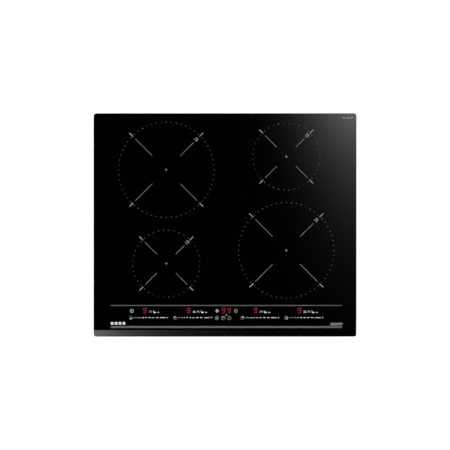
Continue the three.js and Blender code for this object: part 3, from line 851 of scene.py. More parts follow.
def circuit(name, base):
    """Lacquered circuit board: a grid of tracks, some of them broken, under a glossy coat."""
    finish = Finish(name)
    x, y, _ = finish.split(finish.place)
    wander = finish.noise(14 * MM, 2.0)
    pitch, sway = 1.5 * MM, 10 * MM
    across = finish.maths("PINGPONG", (x + sway * wander) / pitch, 1.0)
    down = finish.maths("PINGPONG", (y + sway * wander) / pitch, 1.0)
    region = finish.noise(22 * MM, 1.0) > 0.52
    tracks = region * (across > 0.6) + (1 - region) * (down > 0.6)
    finish.set("Base Color", finish.blend(0.65 * tracks, base, shade(base, 2.3)))
    finish.set("Roughness", 0.32 - 0.08 * tracks)
    finish.bump(tracks, 0.03 * MM)
    return finish.material


def ribbed(name, base, pitch):
    """Ribbon cable: one rounded rib for each wire, side by side along X, each rib's crest painted
    lighter as painted highlight and the troughs between ribs darker as painted shade.
    """
    finish = Finish(name)
    x, _, _ = finish.split(finish.place)
    wave = 0.5 + 0.5 * finish.maths("SINE", x * (2 * math.pi / pitch))
    tone = finish.noise(9 * MM, 2.0)
    painted_shade_and_tone = 0.7 * wave + 0.3 * tone
    # painted highlight and shade: the rib wave lightens each crest and darkens each trough between
    # wires, mixed with a random tone
    finish.set("Base Color", finish.blend(painted_shade_and_tone, shade(base, 0.5), shade(base, 1.3)))
    finish.set("Roughness", 0.42 + 0.1 * tone)
    finish.bump(wave, 0.2 * MM)
    return finish.material


def speckled(name, base, roughness, size=0.8 * MM):
    """Fired or pressed mineral: a fine speckle over soft clouds."""
    finish = Finish(name)
    speck = finish.noise(size, 3.0)
    cloud = finish.noise(12 * MM, 3.0)
    tone = 0.6 * speck + 0.4 * cloud
    finish.set("Base Color", finish.blend(tone, shade(base, 0.7), shade(base, 1.25)))
    finish.set("Roughness", finish.limited(roughness - 0.08 + 0.16 * speck))
    finish.bump(speck, 0.02 * MM)
    return finish.material


MATERIALS = {}


def material(name, recipe, *values):
    """A finish that is made once and then shared."""
    if name not in MATERIALS:
        MATERIALS[name] = recipe(name, *values)
    return MATERIALS[name]


def black_plastic():
    return material("black_plastic", moulded, (0.018, 0.018, 0.019), 0.5)


def white_plastic():
    return material("white_plastic", moulded, (0.6, 0.6, 0.56), 0.45)


def grey_plastic():
    return material("grey_plastic", moulded, (0.13, 0.135, 0.14), 0.45)


def coil_plastic():
    return material("coil_plastic", moulded, (0.5, 0.48, 0.42), 0.5)


def aluminium():
    return material("rolled_aluminium", rolled, (0.75, 0.76, 0.77), 0.36)


def bright_zinc():
    return material("bright_zinc_plate", rolled, (0.62, 0.63, 0.66), 0.24, (1.0, 1.0, 1.0))


def spring_steel():
    return material("spring_steel", rolled, (0.4, 0.4, 0.42), 0.28, (1.0, 1.0, 1.0))


def board_lacquer():
    return material("board_lacquer", circuit, tuple(bpy.context.scene.hob_inside.board))


def glazed_ceramic():
    return material("glazed_ceramic", speckled, (0.72, 0.7, 0.63), 0.3, 0.3 * MM)


def fired_ferrite():
    return material("fired_ferrite", speckled, (0.045, 0.044, 0.046), 0.65)


# ------------------------------------------------------------------ glass plate

def glass_sections(settings):
    """Cross-sections of the plate from one end to the other.

    At x the half depth is d = D - (r - sqrt(r^2 - t^2)), with t how far x is into the corner of
    radius r, and the section is thinner by a - sqrt(a^2 - s^2) within one arris a of the end.
    A section runs round the bottom, back, top, crease, facet and front. The facet's height falls
    by its slope times the distance past the crease. Rows close to each arris and to the crease
    keep the top and the facet flat.
    """
    _, front, lowest = GLASS.low
    end, back, highest = GLASS.high
    corner, arris = settings.corner, settings.arris
    slope = settings.facet_drop / settings.facet_run
    crease = front + settings.facet_run
    ease = np.sin(np.linspace(0.0, np.pi / 2, 15))
    right = np.concatenate([
        np.linspace(0.0, end - corner, 13)[:-1],
        end - corner + (corner - arris) * ease,
        end - arris + arris * ease[1:],
    ])
    x = np.concatenate([-right[:0:-1], right])
    into_corner = np.clip(np.abs(x) - (end - corner), 0.0, corner)
    half = back - (corner - np.sqrt(np.maximum(corner ** 2 - into_corner ** 2, 0.0)))
    into_arris = np.clip(np.abs(x) - (end - arris), 0.0, arris)
    thinner = arris - np.sqrt(np.maximum(arris ** 2 - into_arris ** 2, 0.0))

    quarter = np.linspace(0.0, np.pi / 2, 5)
    tilt = math.atan(slope)
    front_turn = np.linspace(np.pi / 2 + tilt, np.pi, 5)
    nudge = 0.05 * MM
    bottom, top = lowest + thinner, highest - thinner
    sections = []

    def rows(y, z):
        sections.append(np.stack([x, np.broadcast_to(y, x.shape), z], -1))

    def arc(y, z, angles):
        for angle in angles:
            rows(y + arris * math.cos(angle), z + arris * math.sin(angle))

    arc(half - arris, bottom + arris, quarter - np.pi / 2)
    arc(half - arris, top - arris, quarter)
    rows(half - arris - nudge, top)
    for past in (-2 * nudge, -nudge, nudge, 2 * nudge):
        rows(crease - past, top - slope * max(past, 0.0))
    facet_edge = top - slope * (half - arris + crease)
    rows(arris - half + nudge, facet_edge + slope * nudge)
    arc(arris - half, facet_edge - arris / math.cos(tilt), front_turn)
    arc(arris - half, bottom + arris, quarter + np.pi)
    return np.stack(sections, 1)


class HOB_OT_glass(bpy.types.Operator):
    """Make the glass plate with its ground edges and sloping front facet"""

    bl_idname = "hob.glass"
    bl_label = "Glass plate"

    def execute(self, context):
        settings = context.scene.hob_glass
        tint = tuple(settings.tint)
        polished = material("polished_black_glass", polished_glass, tint, settings.gloss)
        ground = material("ground_glass_edge", ground_glass, tint)
        shell = loft(glass_sections(settings))
        plate = piece(
            "glass_plate_polished", [(shell, polished)], ROOT, ("glass_plate",),
            sharp=3)
        mesh = plate.data
        mesh.materials.append(ground)
        normals = np.empty(len(mesh.polygons) * 3, np.float32)
        mesh.polygons.foreach_get("normal", normals)
        upward = normals.reshape(-1, 3)[:, 2]
        side, underside = np.abs(upward) < 0.25, upward < -0.9
        mesh.polygons.foreach_set("material_index", (side | underside).astype(np.int32))
        mesh.set_sharp_from_angle(angle=math.radians(25))
        return {"FINISHED"}


# ------------------------------------------------------------------ printing on the glass

class Print:
    """Flat shapes laid on the glass, gathered as one thin closed shell each."""

    SINK = 0.02 * MM  # how deep the ink is keyed into the glass

    def __init__(self, thickness, level=None):
        top = GLASS_TOP if level is None else level
        self.low, self.high = top - self.SINK, top + thickness
        self.shells = []

    def flat(self, outline):
        """A thin shell on an outline, given as points that its middle can see."""
        outline = np.asarray(outline, float)
        rings = [
            np.column_stack([outline, np.full(len(outline), level)])
            for level in (self.low, self.high)
        ]
        return loft(np.array(rings))

    def patch(self, outline):
        """A filled outline."""
        self.shells.append(self.flat(outline))

    def block(self, centre, size, rounding):
        """A bar with rounded corners."""
        self.patch(rectangle(centre, size, rounding)())

    def band(self, path, width, closed=False):
        """A line of even width along a path of (x, y) rows."""
        path = np.asarray(path, float)
        path = np.column_stack([path, np.zeros(len(path))])
        self.shells.append(swept(path, flat_profile(width, self.low, self.high), closed))

    def line(self, start, end, width):
        """A straight line with square ends."""
        self.band([start, end], width)

    def arc(self, centre, radius, width, start=0.0, end=360.0, steps=32):
        """A ring, or part of one, between two angles in degrees."""
        whole = end - start >= 360.0
        angle = np.radians(np.linspace(start, end, steps + 1))
        path = np.asarray(centre) + radius * np.column_stack([np.cos(angle), np.sin(angle)])
        self.band(path[:-1] if whole else path, width, whole)

    def dots(self, places, diameter):
        """One small disc at each place."""
        dot = self.flat(round_profile(diameter / 2, 12))
        places = np.column_stack([places, np.zeros(len(places))])
        self.shells.append(copies(dot, places))

    def whole(self):
        """Everything gathered so far."""
        return together(self.shells)


def numerals(text, height, centre, angle, low, high):
    """Raised numerals, made a mesh and then put in place."""
    curve = bpy.data.curves.new("numerals", "FONT")
    curve.body = text
    curve.size = height * 1.42  # numerals are 0.7 of the font's size
    curve.align_x, curve.align_y = "CENTER", "CENTER"
    curve.extrude = (high - low) / 2
    curve.resolution_u = 3
    curve.offset = 0.02 * height
    holder = bpy.data.objects.new("numerals", curve)
    bpy.context.scene.collection.objects.link(holder)
    mesh = evaluated_mesh(holder)
    bpy.data.objects.remove(holder)
    bpy.data.curves.remove(curve)
    points = np.empty(len(mesh.vertices) * 3, np.float32)
    mesh.vertices.foreach_get("co", points)
    points = points.reshape(-1, 3).astype(float)
    cosine, sine = math.cos(angle), math.sin(angle)
    x = centre[0] + points[:, 0] * cosine - points[:, 1] * sine
    y = centre[1] + points[:, 0] * sine + points[:, 1] * cosine
    z = points[:, 2] + (low + high) / 2
    mesh.vertices.foreach_set("co", np.column_stack([x, y, z]).astype(np.float32).ravel())
    work = bmesh.new()
    work.from_mesh(mesh)
    merge_points(work)
    bmesh.ops.recalc_face_normals(work, faces=work.faces)
    work.to_mesh(mesh)
    work.free()
    return mesh


# A zone's cross, as distances from its middle: the fine line, the mark that points out from
# the ring, and on the diagonal with the numeral, where the fine line stops and where the
# numeral stands. Then the numeral, how many dots the ring has, and by what part of a step
# they are turned
Cross = namedtuple("Cross", "line tick stop numeral text dots offset")
LARGE_CROSS = Cross(
    line=(45 * MM, 100 * MM), tick=(107 * MM, 119 * MM), stop=88 * MM, numeral=98 * MM,
    text="21", dots=60, offset=0.0)
SMALL_CROSS = Cross(
    line=(30.7 * MM, 68.5 * MM), tick=(75 * MM, 86.7 * MM), stop=58.7 * MM, numeral=67.3 * MM,
    text="15", dots=40, offset=0.5)
HUB_ARM, HUB_WIDTH = 2.7 * MM, 1.05 * MM  # the small cross in the middle of a zone
NUMERAL_HEIGHT = 7.0 * MM


class HOB_OT_zone_print(bpy.types.Operator):
    """Print the dotted rings, crosses and numerals of the four cooking zones"""

    bl_idname = "hob.zone_print"
    bl_label = "Zone printing"

    def execute(self, context):
        settings = context.scene.hob_print
        pale = material("pale_enamel_ink", screen_ink, tuple(settings.pale))
        fine = material("fine_enamel_ink", screen_ink, shade(settings.pale, 0.8))
        kinds = [(zone, LARGE_CROSS, settings.large_ring) for zone in LARGE_ZONES]
        kinds += [(zone, SMALL_CROSS, settings.small_ring) for zone in SMALL_ZONES]
        for zone, cross, radius in kinds:
            centre = extent(f"coil_former_{zone}").foot[:2]
            self.print_zone(zone, centre, cross, radius, settings, pale, fine)
        return {"FINISHED"}

    @staticmethod
    def print_zone(zone, centre, cross, radius, settings, pale, fine):
        """One ring of dots, four diagonals and a mark in the middle."""
        bold, light = Print(settings.thickness), Print(settings.thickness)
        angle = (np.arange(cross.dots) + cross.offset) * 2 * np.pi / cross.dots
        ring = centre + radius * np.column_stack([np.cos(angle), np.sin(angle)])
        light.dots(ring, settings.dot)
        for quarter in range(4):
            turn = (quarter + 0.5) * np.pi / 2
            way = np.array([math.cos(turn), math.sin(turn)])
            end = cross.stop if quarter == 0 else cross.line[1]
            light.line(centre + way * cross.line[0], centre + way * end, settings.line)
            bold.line(centre + way * cross.tick[0], centre + way * cross.tick[1], settings.tick)
        for way in HUB_ARM * np.eye(2):
            bold.line(centre - way, centre + way, HUB_WIDTH)
        piece(f"zone_marks_{zone}", [(bold.whole(), pale)])
        piece(f"zone_dots_{zone}", [(light.whole(), fine)])
        turn = np.pi / 4
        place = centre + cross.numeral * np.array([math.cos(turn), math.sin(turn)])
        mesh = numerals(cross.text, NUMERAL_HEIGHT, place, turn, bold.low, bold.high)
        mesh.materials.clear()
        mesh.materials.append(pale)
        placed(bpy.data.objects.new(f"zone_numeral_{zone}", mesh), ROOT)


def drawn(x, y, points):
    """Points given in millimetres from (x, y)."""
    return np.array([x, y]) + np.array(points) * MM


def in_a_row(first, pitch, count):
    """Places side by side from the first one rightwards, given in millimetres."""
    return [((first[0] + pitch * number) * MM, first[1] * MM) for number in range(count)]


def selector_symbol(ink, x, y, size, quarter):
    """A ring with one quarter filled, which shows where the zone is."""
    radius, stroke, gap = size / 2, 0.36 * MM, 0.7 * MM
    ink.arc((x, y), radius - stroke / 2, stroke)
    angle = np.radians(np.linspace(90.0 * quarter, 90.0 * quarter + 90.0, 9))
    rim = (radius - gap) * np.column_stack([np.cos(angle), np.sin(angle)])
    ink.patch(np.vstack([[0.0, 0.0], rim]) + [x, y])


def slider_symbol(ink, x, y):
    """Ten strokes that grow longer and thicker, then a raised tick.

    The middle of gap k lies 5.1 + 3.55 k + 0.375 k (k - 1) millimetres from the selector, and
    that of the last one 79.8. Half a gap is 1.05 + 0.13 k, at most 1.75, and stroke k is
    0.95 + 0.13 k thick, at most 1.5.
    """
    strokes = 10
    step = np.arange(strokes + 1)
    middles = x + (5.1 + 3.55 * step + 0.375 * step * (step - 1)) * MM
    middles[-1] = x + 79.8 * MM
    half = np.minimum(1.05 + 0.13 * step, 1.75) * MM
    thickness = np.minimum(0.95 + 0.13 * step, 1.5) * MM
    for number in range(strokes):
        start, end = middles[number] + half[number], middles[number + 1] - half[number + 1]
        ink.line((start, y), (end, y), thickness[number])
    ink.line(*drawn(x, y, [(81.6, -1.1), (83.8, 1.5)]), 1.4 * MM)


def lid_symbol(ink, x, y, bridged):
    """An arch, with a smaller one inside it where the zone also has a bridge."""
    half, leg, sunk = 2.3 * MM, 2.2 * MM, 0.4 * MM
    arch = np.radians(np.linspace(0.0, 180.0, 15))
    curve = half * np.column_stack([np.cos(arch), np.sin(arch)])
    path = np.vstack([[[half, -leg]], curve, [[-half, -leg]]])
    ink.band(path + [x, y - sunk], 0.75 * MM)
    if bridged:
        ink.block((x, y - 1.2 * MM), (1.7 * MM, 2.8 * MM), 0.8 * MM)


def pan_symbol(ink, x, y):
    """A pan with its handle up."""
    ink.patch(drawn(x, y, [(-2.1, -2.9), (3.3, -2.9), (3.6, -0.2), (-1.7, -0.2)]))
    ink.band(drawn(x, y, [(-2.6, 3.0), (-2.0, 1.4), (-1.5, -1.2)]), 1.1 * MM)


def melt_symbol(ink, x, y):
    """A low drop over a line."""
    ink.patch(drawn(x, y, [(-1.2, -1.4), (1.2, -1.4), (0.0, 0.3)]))
    ink.line(*drawn(x, y, [(-2.8, -2.0), (2.8, -2.0)]), 0.8 * MM)


def turn_symbol(ink, x, y, radius):
    """A ring with a small open arc inside its left half."""
    ink.arc((x, y), radius - 0.4 * MM, 0.75 * MM)
    ink.arc((x, y), radius * 0.42, 0.7 * MM, 90.0, 270.0)


def striped_symbol(ink, x, y, radius):
    """A disc of level stripes, for holding the settings while a spill is wiped."""
    spacing, thickness = radius * 0.4, radius * 0.24
    for row in range(-2, 3):
        height = row * spacing
        half = math.sqrt(radius ** 2 - height ** 2)
        ink.line((x - half, y + height), (x + half, y + height), thickness)


def key_ring(ink, x, y, radius, start=0.0, end=360.0):
    """The thin ring round a key's sign, or a part of it."""
    ink.arc((x, y), radius - 0.3 * MM, 0.7 * MM, start, end)


def pause_symbol(ink, x, y, radius):
    """A ring with two bars."""
    key_ring(ink, x, y, radius)
    for side in (-1.1, 1.1):
        ink.line(*drawn(x, y, [(side, -2.2), (side, 2.2)]), 1.1 * MM)


def clock_symbol(ink, x, y, radius):
    """A ring with two hands."""
    key_ring(ink, x, y, radius)
    ink.line(*drawn(x, y, [(0.0, 0.0), (1.9, 2.3)]), 0.9 * MM)
    ink.line(*drawn(x, y, [(0.0, -0.4), (0.0, 2.9)]), 0.8 * MM)


def power_symbol(ink, x, y, radius):
    """A ring that is open at the top, with a bar in the opening."""
    key_ring(ink, x, y, radius, 115.0, 425.0)
    ink.line(*drawn(x, y, [(0.0, 1.4), (0.0, 5.0)]), 0.9 * MM)


class HOB_OT_panel_print(bpy.types.Operator):
    """Print the long lines, sliders and symbols of the touch panel"""

    bl_idname = "hob.panel_print"
    bl_label = "Panel printing"

    def execute(self, context):
        settings = context.scene.hob_print
        size = context.scene.hob_panel.symbol
        pale = material("pale_enamel_ink", screen_ink, tuple(settings.pale))
        grey = material("grey_enamel_ink", screen_ink, tuple(settings.grey))
        white = material("white_enamel_ink", screen_ink, (0.72, 0.72, 0.72))
        lines = Print(settings.thickness)
        for y, width in (UPPER_LINE, LOWER_LINE):
            lines.line((LINE_LEFT, y), (LINE_RIGHT, y), width)
        piece("panel_lines", [(lines.whole(), grey)])

        symbols, bright = Print(settings.thickness), Print(settings.thickness)
        for control in CONTROLS:
            selector_symbol(bright, control.selector, SELECTOR_ROW, size * 0.9, control.quarter)
            slider_symbol(bright, control.selector, SLIDER_ROW)
            self.print_functions(bright, control)
        self.print_middle(symbols, bright, size)
        piece("panel_symbols", [(symbols.whole(), pale)])
        piece("panel_sliders", [(bright.whole(), white)])

        marks, label = Print(settings.thickness), Print(settings.thickness)
        self.print_plain_marks(marks, label)
        piece("panel_marks", [(marks.whole(), white)])
        piece("corner_label", [(label.whole(), pale)])
        return {"FINISHED"}

    @staticmethod
    def print_functions(ink, control):
        """The function symbols after a display."""
        first = control.display + FIRST_FUNCTION
        *lids, pan, melt = first + FUNCTION_PITCH * np.arange(control.symbols)
        for number, x in enumerate(lids):
            lid_symbol(ink, x, SYMBOL_ROW, bridged=number == 0 and len(lids) == 2)
        pan_symbol(ink, pan, SYMBOL_ROW)
        melt_symbol(ink, melt, SYMBOL_ROW)

    @staticmethod
    def print_middle(ink, bright, size):
        """The turn, wipe, pause, clock and power signs, and the arrow under the timer."""
        radius = size / 2
        turn_symbol(bright, LEFT_TURN, ROUND_ROW, radius)
        turn_symbol(ink, RIGHT_TURN, ROUND_ROW, radius)
        striped_symbol(bright, WIPE, ROUND_ROW, radius - 0.6 * MM)
        pause_symbol(ink, PAUSE, KEY_ROW, radius)
        clock_symbol(ink, CLOCK, KEY_ROW, radius)
        power_symbol(ink, POWER, KEY_ROW, radius)
        bright.patch(drawn(*TIMER_ARROW, [(-1.9, -1.3), (1.9, -1.3), (0.0, 1.8)]))

    @staticmethod
    def print_plain_marks(ink, label):
        """Plain blocks at the left, a coil sign at the right and three dashes at the back."""
        side, loop, dash = 6.3 * MM, 2.2 * MM, (6.6 * MM, 1.95 * MM)
        for place in in_a_row((-257.4, -224.5), 8.9, 4):
            ink.block(place, (side, side), 1.2 * MM)
        for place in in_a_row((243.5, -226.0), 4.4, 6):
            ink.arc(place, loop, 0.75 * MM, steps=20)
        for place in in_a_row((271.5, 244.6), 8.2, 3):
            label.block(place, dash, 0.499 * min(dash))


# ------------------------------------------------------------------ displays

# Ends of the seven strokes in a cell one wide and two high, and which of them show a nine
STROKES = {
    "top": ((0, 2), (1, 2)),
    "upper_right": ((1, 2), (1, 1)),
    "lower_right": ((1, 1), (1, 0)),
    "bottom": ((0, 0), (1, 0)),
    "lower_left": ((0, 1), (0, 0)),
    "upper_left": ((0, 2), (0, 1)),
    "centre": ((0, 1), (1, 1)),
}
NINE = ("top", "upper_right", "lower_right", "bottom", "upper_left", "centre")
SLANT = math.tan(math.radians(6))
STROKE_GAP = 0.18 * MM  # how far a stroke stops short of the corner it runs to


def digit_strokes(ink, x, y, settings):
    """A nine of pointed strokes that lean a little to the right."""
    width = settings.digit_width - settings.digit_stroke
    height = (settings.digit_height - settings.digit_stroke) / 2
    half = settings.digit_stroke / 2
    for name in NINE:
        (x0, y0), (x1, y1) = STROKES[name]
        start = np.array([(x0 - 0.5) * width, (y0 - 1) * height])
        end = np.array([(x1 - 0.5) * width, (y1 - 1) * height])
        way = (end - start) / np.linalg.norm(end - start)
        across = np.array([-way[1], way[0]]) * half
        start, end = start + way * STROKE_GAP, end - way * STROKE_GAP
        outline = np.array([
            start, start + way * half - across, end - way * half - across,
            end, end - way * half + across, start + way * half + across,
        ])
        outline[:, 0] += outline[:, 1] * SLANT
        ink.patch(outline + [x, y])


class HOB_OT_displays(bpy.types.Operator):
    """Light the red digits of the four zones and the timer"""

    bl_idname = "hob.displays"
    bl_label = "Displays"

    def execute(self, context):
        settings = context.scene.hob_panel
        tint = tuple(context.scene.hob_glass.tint)
        red = material("red_display_light", lit_segment, tuple(settings.digit_red))
        reach, lift, thickness = 10 * MM, 0.015 * MM, 0.02 * MM
        haze = material("red_display_haze", halo, tint, tuple(settings.halo_red), reach)
        places = [control.display for control in CONTROLS] + list(TIMER_DIGITS)
        digits = Print(thickness, GLASS_TOP + lift)
        for x in places:
            digit_strokes(digits, x, DIGIT_ROW, settings)
        piece("display_digits", [(digits.whole(), red)])
        discs = copies(self.haze_disc(settings, reach), [[x, DIGIT_ROW, 0.0] for x in places])
        piece("display_haze", [(discs, haze)])
        return {"FINISHED"}

    @staticmethod
    def haze_disc(settings, reach):
        """A thin oval: (r w cos a, r h sin a), its first coordinate running inwards from the rim."""
        sides = 40
        shares = np.array([1.0, 1.0, 0.85, 0.7, 0.55, 0.4, 0.25, 0.1])
        levels = np.array([-0.02] + [0.012] * 7) * MM + GLASS_TOP
        angle = np.arange(sides) * 2 * np.pi / sides
        wide, tall = settings.digit_width * 0.8, settings.digit_height * 0.68
        rings = np.stack([
            shares[:, None] * wide * np.cos(angle),
            shares[:, None] * tall * np.sin(angle),
            np.broadcast_to(levels[:, None], (len(levels), sides)),
        ], -1)
        shell = loft(rings)
        inwards = (1 - shares) * reach
        uv = shell.uv.copy()
        uv[:, :2, 0] = np.repeat(inwards[:-1], sides)[:, None]
        uv[:, 2:, 0] = np.repeat(inwards[1:], sides)[:, None]
        return shell._replace(uv=uv)


# ------------------------------------------------------------------ casing and seals

def follow(outline, profile, level):
    """A profile carried once round an outline, from the outside in."""
    points = outline(0.0)
    path = np.column_stack([points, np.full(len(points), level)])
    return swept(path, profile, closed=True)


class HOB_OT_casing(bpy.types.Operator):
    """Make the steel casing, the foam seal and the bonding bead"""

    bl_idname = "hob.casing"
    bl_label = "Casing and seals"

    def execute(self, context):
        settings = context.scene.hob_casing
        steel = material("zinc_coated_sheet", zinc_sheet, tuple(settings.steel), settings.spangle)
        foam = material("worktop_foam", foamed, tuple(settings.foam))
        silicone = material("black_silicone", moulded, (0.02, 0.02, 0.02), 0.45, 2 * MM)
        refined("casing_tray", steel, settings.edge)
        self.strip("worktop_seal", foam, "foam", width=7 * MM, corner=6 * MM, rounding=1.1 * MM)
        self.strip(
            "bonding_bead", silicone, "silicone", width=3 * MM, corner=13.5 * MM,
            rounding=0.4 * MM)
        return {"FINISHED"}

    @staticmethod
    def strip(node, finish, slot, width, corner, rounding):
        """A soft strip with rounded edges, following the node's outline."""
        at = extent(node)
        outline = rectangle(at.foot[:2], at.size[:2], corner, 12)
        thickness = at.size[2]
        inner = rounded_profile([[0, 0], [0, thickness], [width, thickness], [width, 0]], rounding)
        shell = follow(outline, inner[::-1], at.low[2])
        piece(f"{node}_soft", [(shell, finish)], ROOT, (node,))


class HOB_OT_clamps(bpy.types.Operator):
    """Make the four worktop clamps and their screws"""

    bl_idname = "hob.clamps"
    bl_label = "Worktop clamps"

    def execute(self, context):
        for corner in CORNERS:
            refined(f"clamp_arm_{corner}", bright_zinc(), 0.35 * MM)
            self.screw(corner)
        return {"FINISHED"}

    @staticmethod
    def screw(corner):
        """A pan-head screw with a cross recess and a rolled thread."""
        node = f"clamp_screw_{corner}"
        at = extent(node)
        radius, height = at.size[0] / 2, at.size[2]
        head, crown, shank, bevel = 2.8 * MM, 1.6 * MM, 1.95 * MM, 0.2 * MM
        dome = np.linspace(0.0, np.pi / 2, 8)
        profile = [[0.0, 0.0]]
        profile += [[radius * math.sin(a), crown * (1 - math.cos(a))] for a in dome[1:]]
        profile += [[radius, head - bevel], [radius - bevel, head], [shank, head]]
        rows = 30
        levels = np.linspace(head + 0.4 * MM, height - 2 * MM, rows)
        depths = 0.16 * MM * (np.arange(rows) % 2)
        profile += [[shank - depth, level] for depth, level in zip(depths, levels)]
        profile += [[0.6 * MM, height - bevel], [0.0, height]]
        body = turned(profile, at.foot, 40)
        made = piece(f"{node}_cross_head", [(body, bright_zinc())], ROOT, (node,))
        carve(made, cross_cutter(*at.foot, reach=2.5 * MM))


def cross_cutter(x, y, bottom, reach):
    """Two crossed bars of even thickness, whose ends draw in towards the top."""
    shells = []
    thickness, below, depth = 0.5 * MM, 0.5 * MM, 1.9 * MM
    for axis in (0, 1):
        rings = []
        for height, scale in ((-below, 1.15), (depth, 0.45)):
            half = np.full(2, thickness)
            half[axis] = reach * scale
            corners = np.array([[1, 1], [-1, 1], [-1, -1], [1, -1]]) * half + [x, y]
            rings.append(np.column_stack([corners, np.full(4, bottom + height)]))
        shells.append(loft(np.array(rings)))
    return shells


def carve(made, cutters):
    """Cuts shells out of a piece, one after the other, and keeps the result as its mesh."""
    for number, cutter in enumerate(cutters):
        mesh = bpy.data.meshes.new("cutter")
        faces = cutter.quads.tolist() + cutter.triangles.tolist()
        mesh.from_pydata(cutter.points.tolist(), [], faces)
        tool = bpy.data.objects.new(f"cutter_{number}", mesh)
        bpy.context.scene.collection.objects.link(tool)
        cut = made.modifiers.new("cut", "BOOLEAN")
        cut.operation, cut.solver, cut.object = "DIFFERENCE", "EXACT", tool
        result = evaluated_mesh(made)
        made.modifiers.clear()
        made.data = result
        bpy.data.objects.remove(tool)
    finish_mesh(made.data, math.radians(35))


# ------------------------------------------------------------------ coils

def spiral(inner, outer, pitch, centre, level):
    """Flat spiral: r grows by one pitch a turn, (r cos a, r sin a)."""
    steps = 56  # to one turn
    turns = (outer - inner) / pitch
    angle = np.linspace(0.0, turns * 2 * np.pi, int(turns * steps))
    radius = inner + pitch * angle / (2 * np.pi)
    return np.column_stack([
        centre[0] + radius * np.cos(angle),
        centre[1] + radius * np.sin(angle),
        np.full(len(angle), level),
    ])


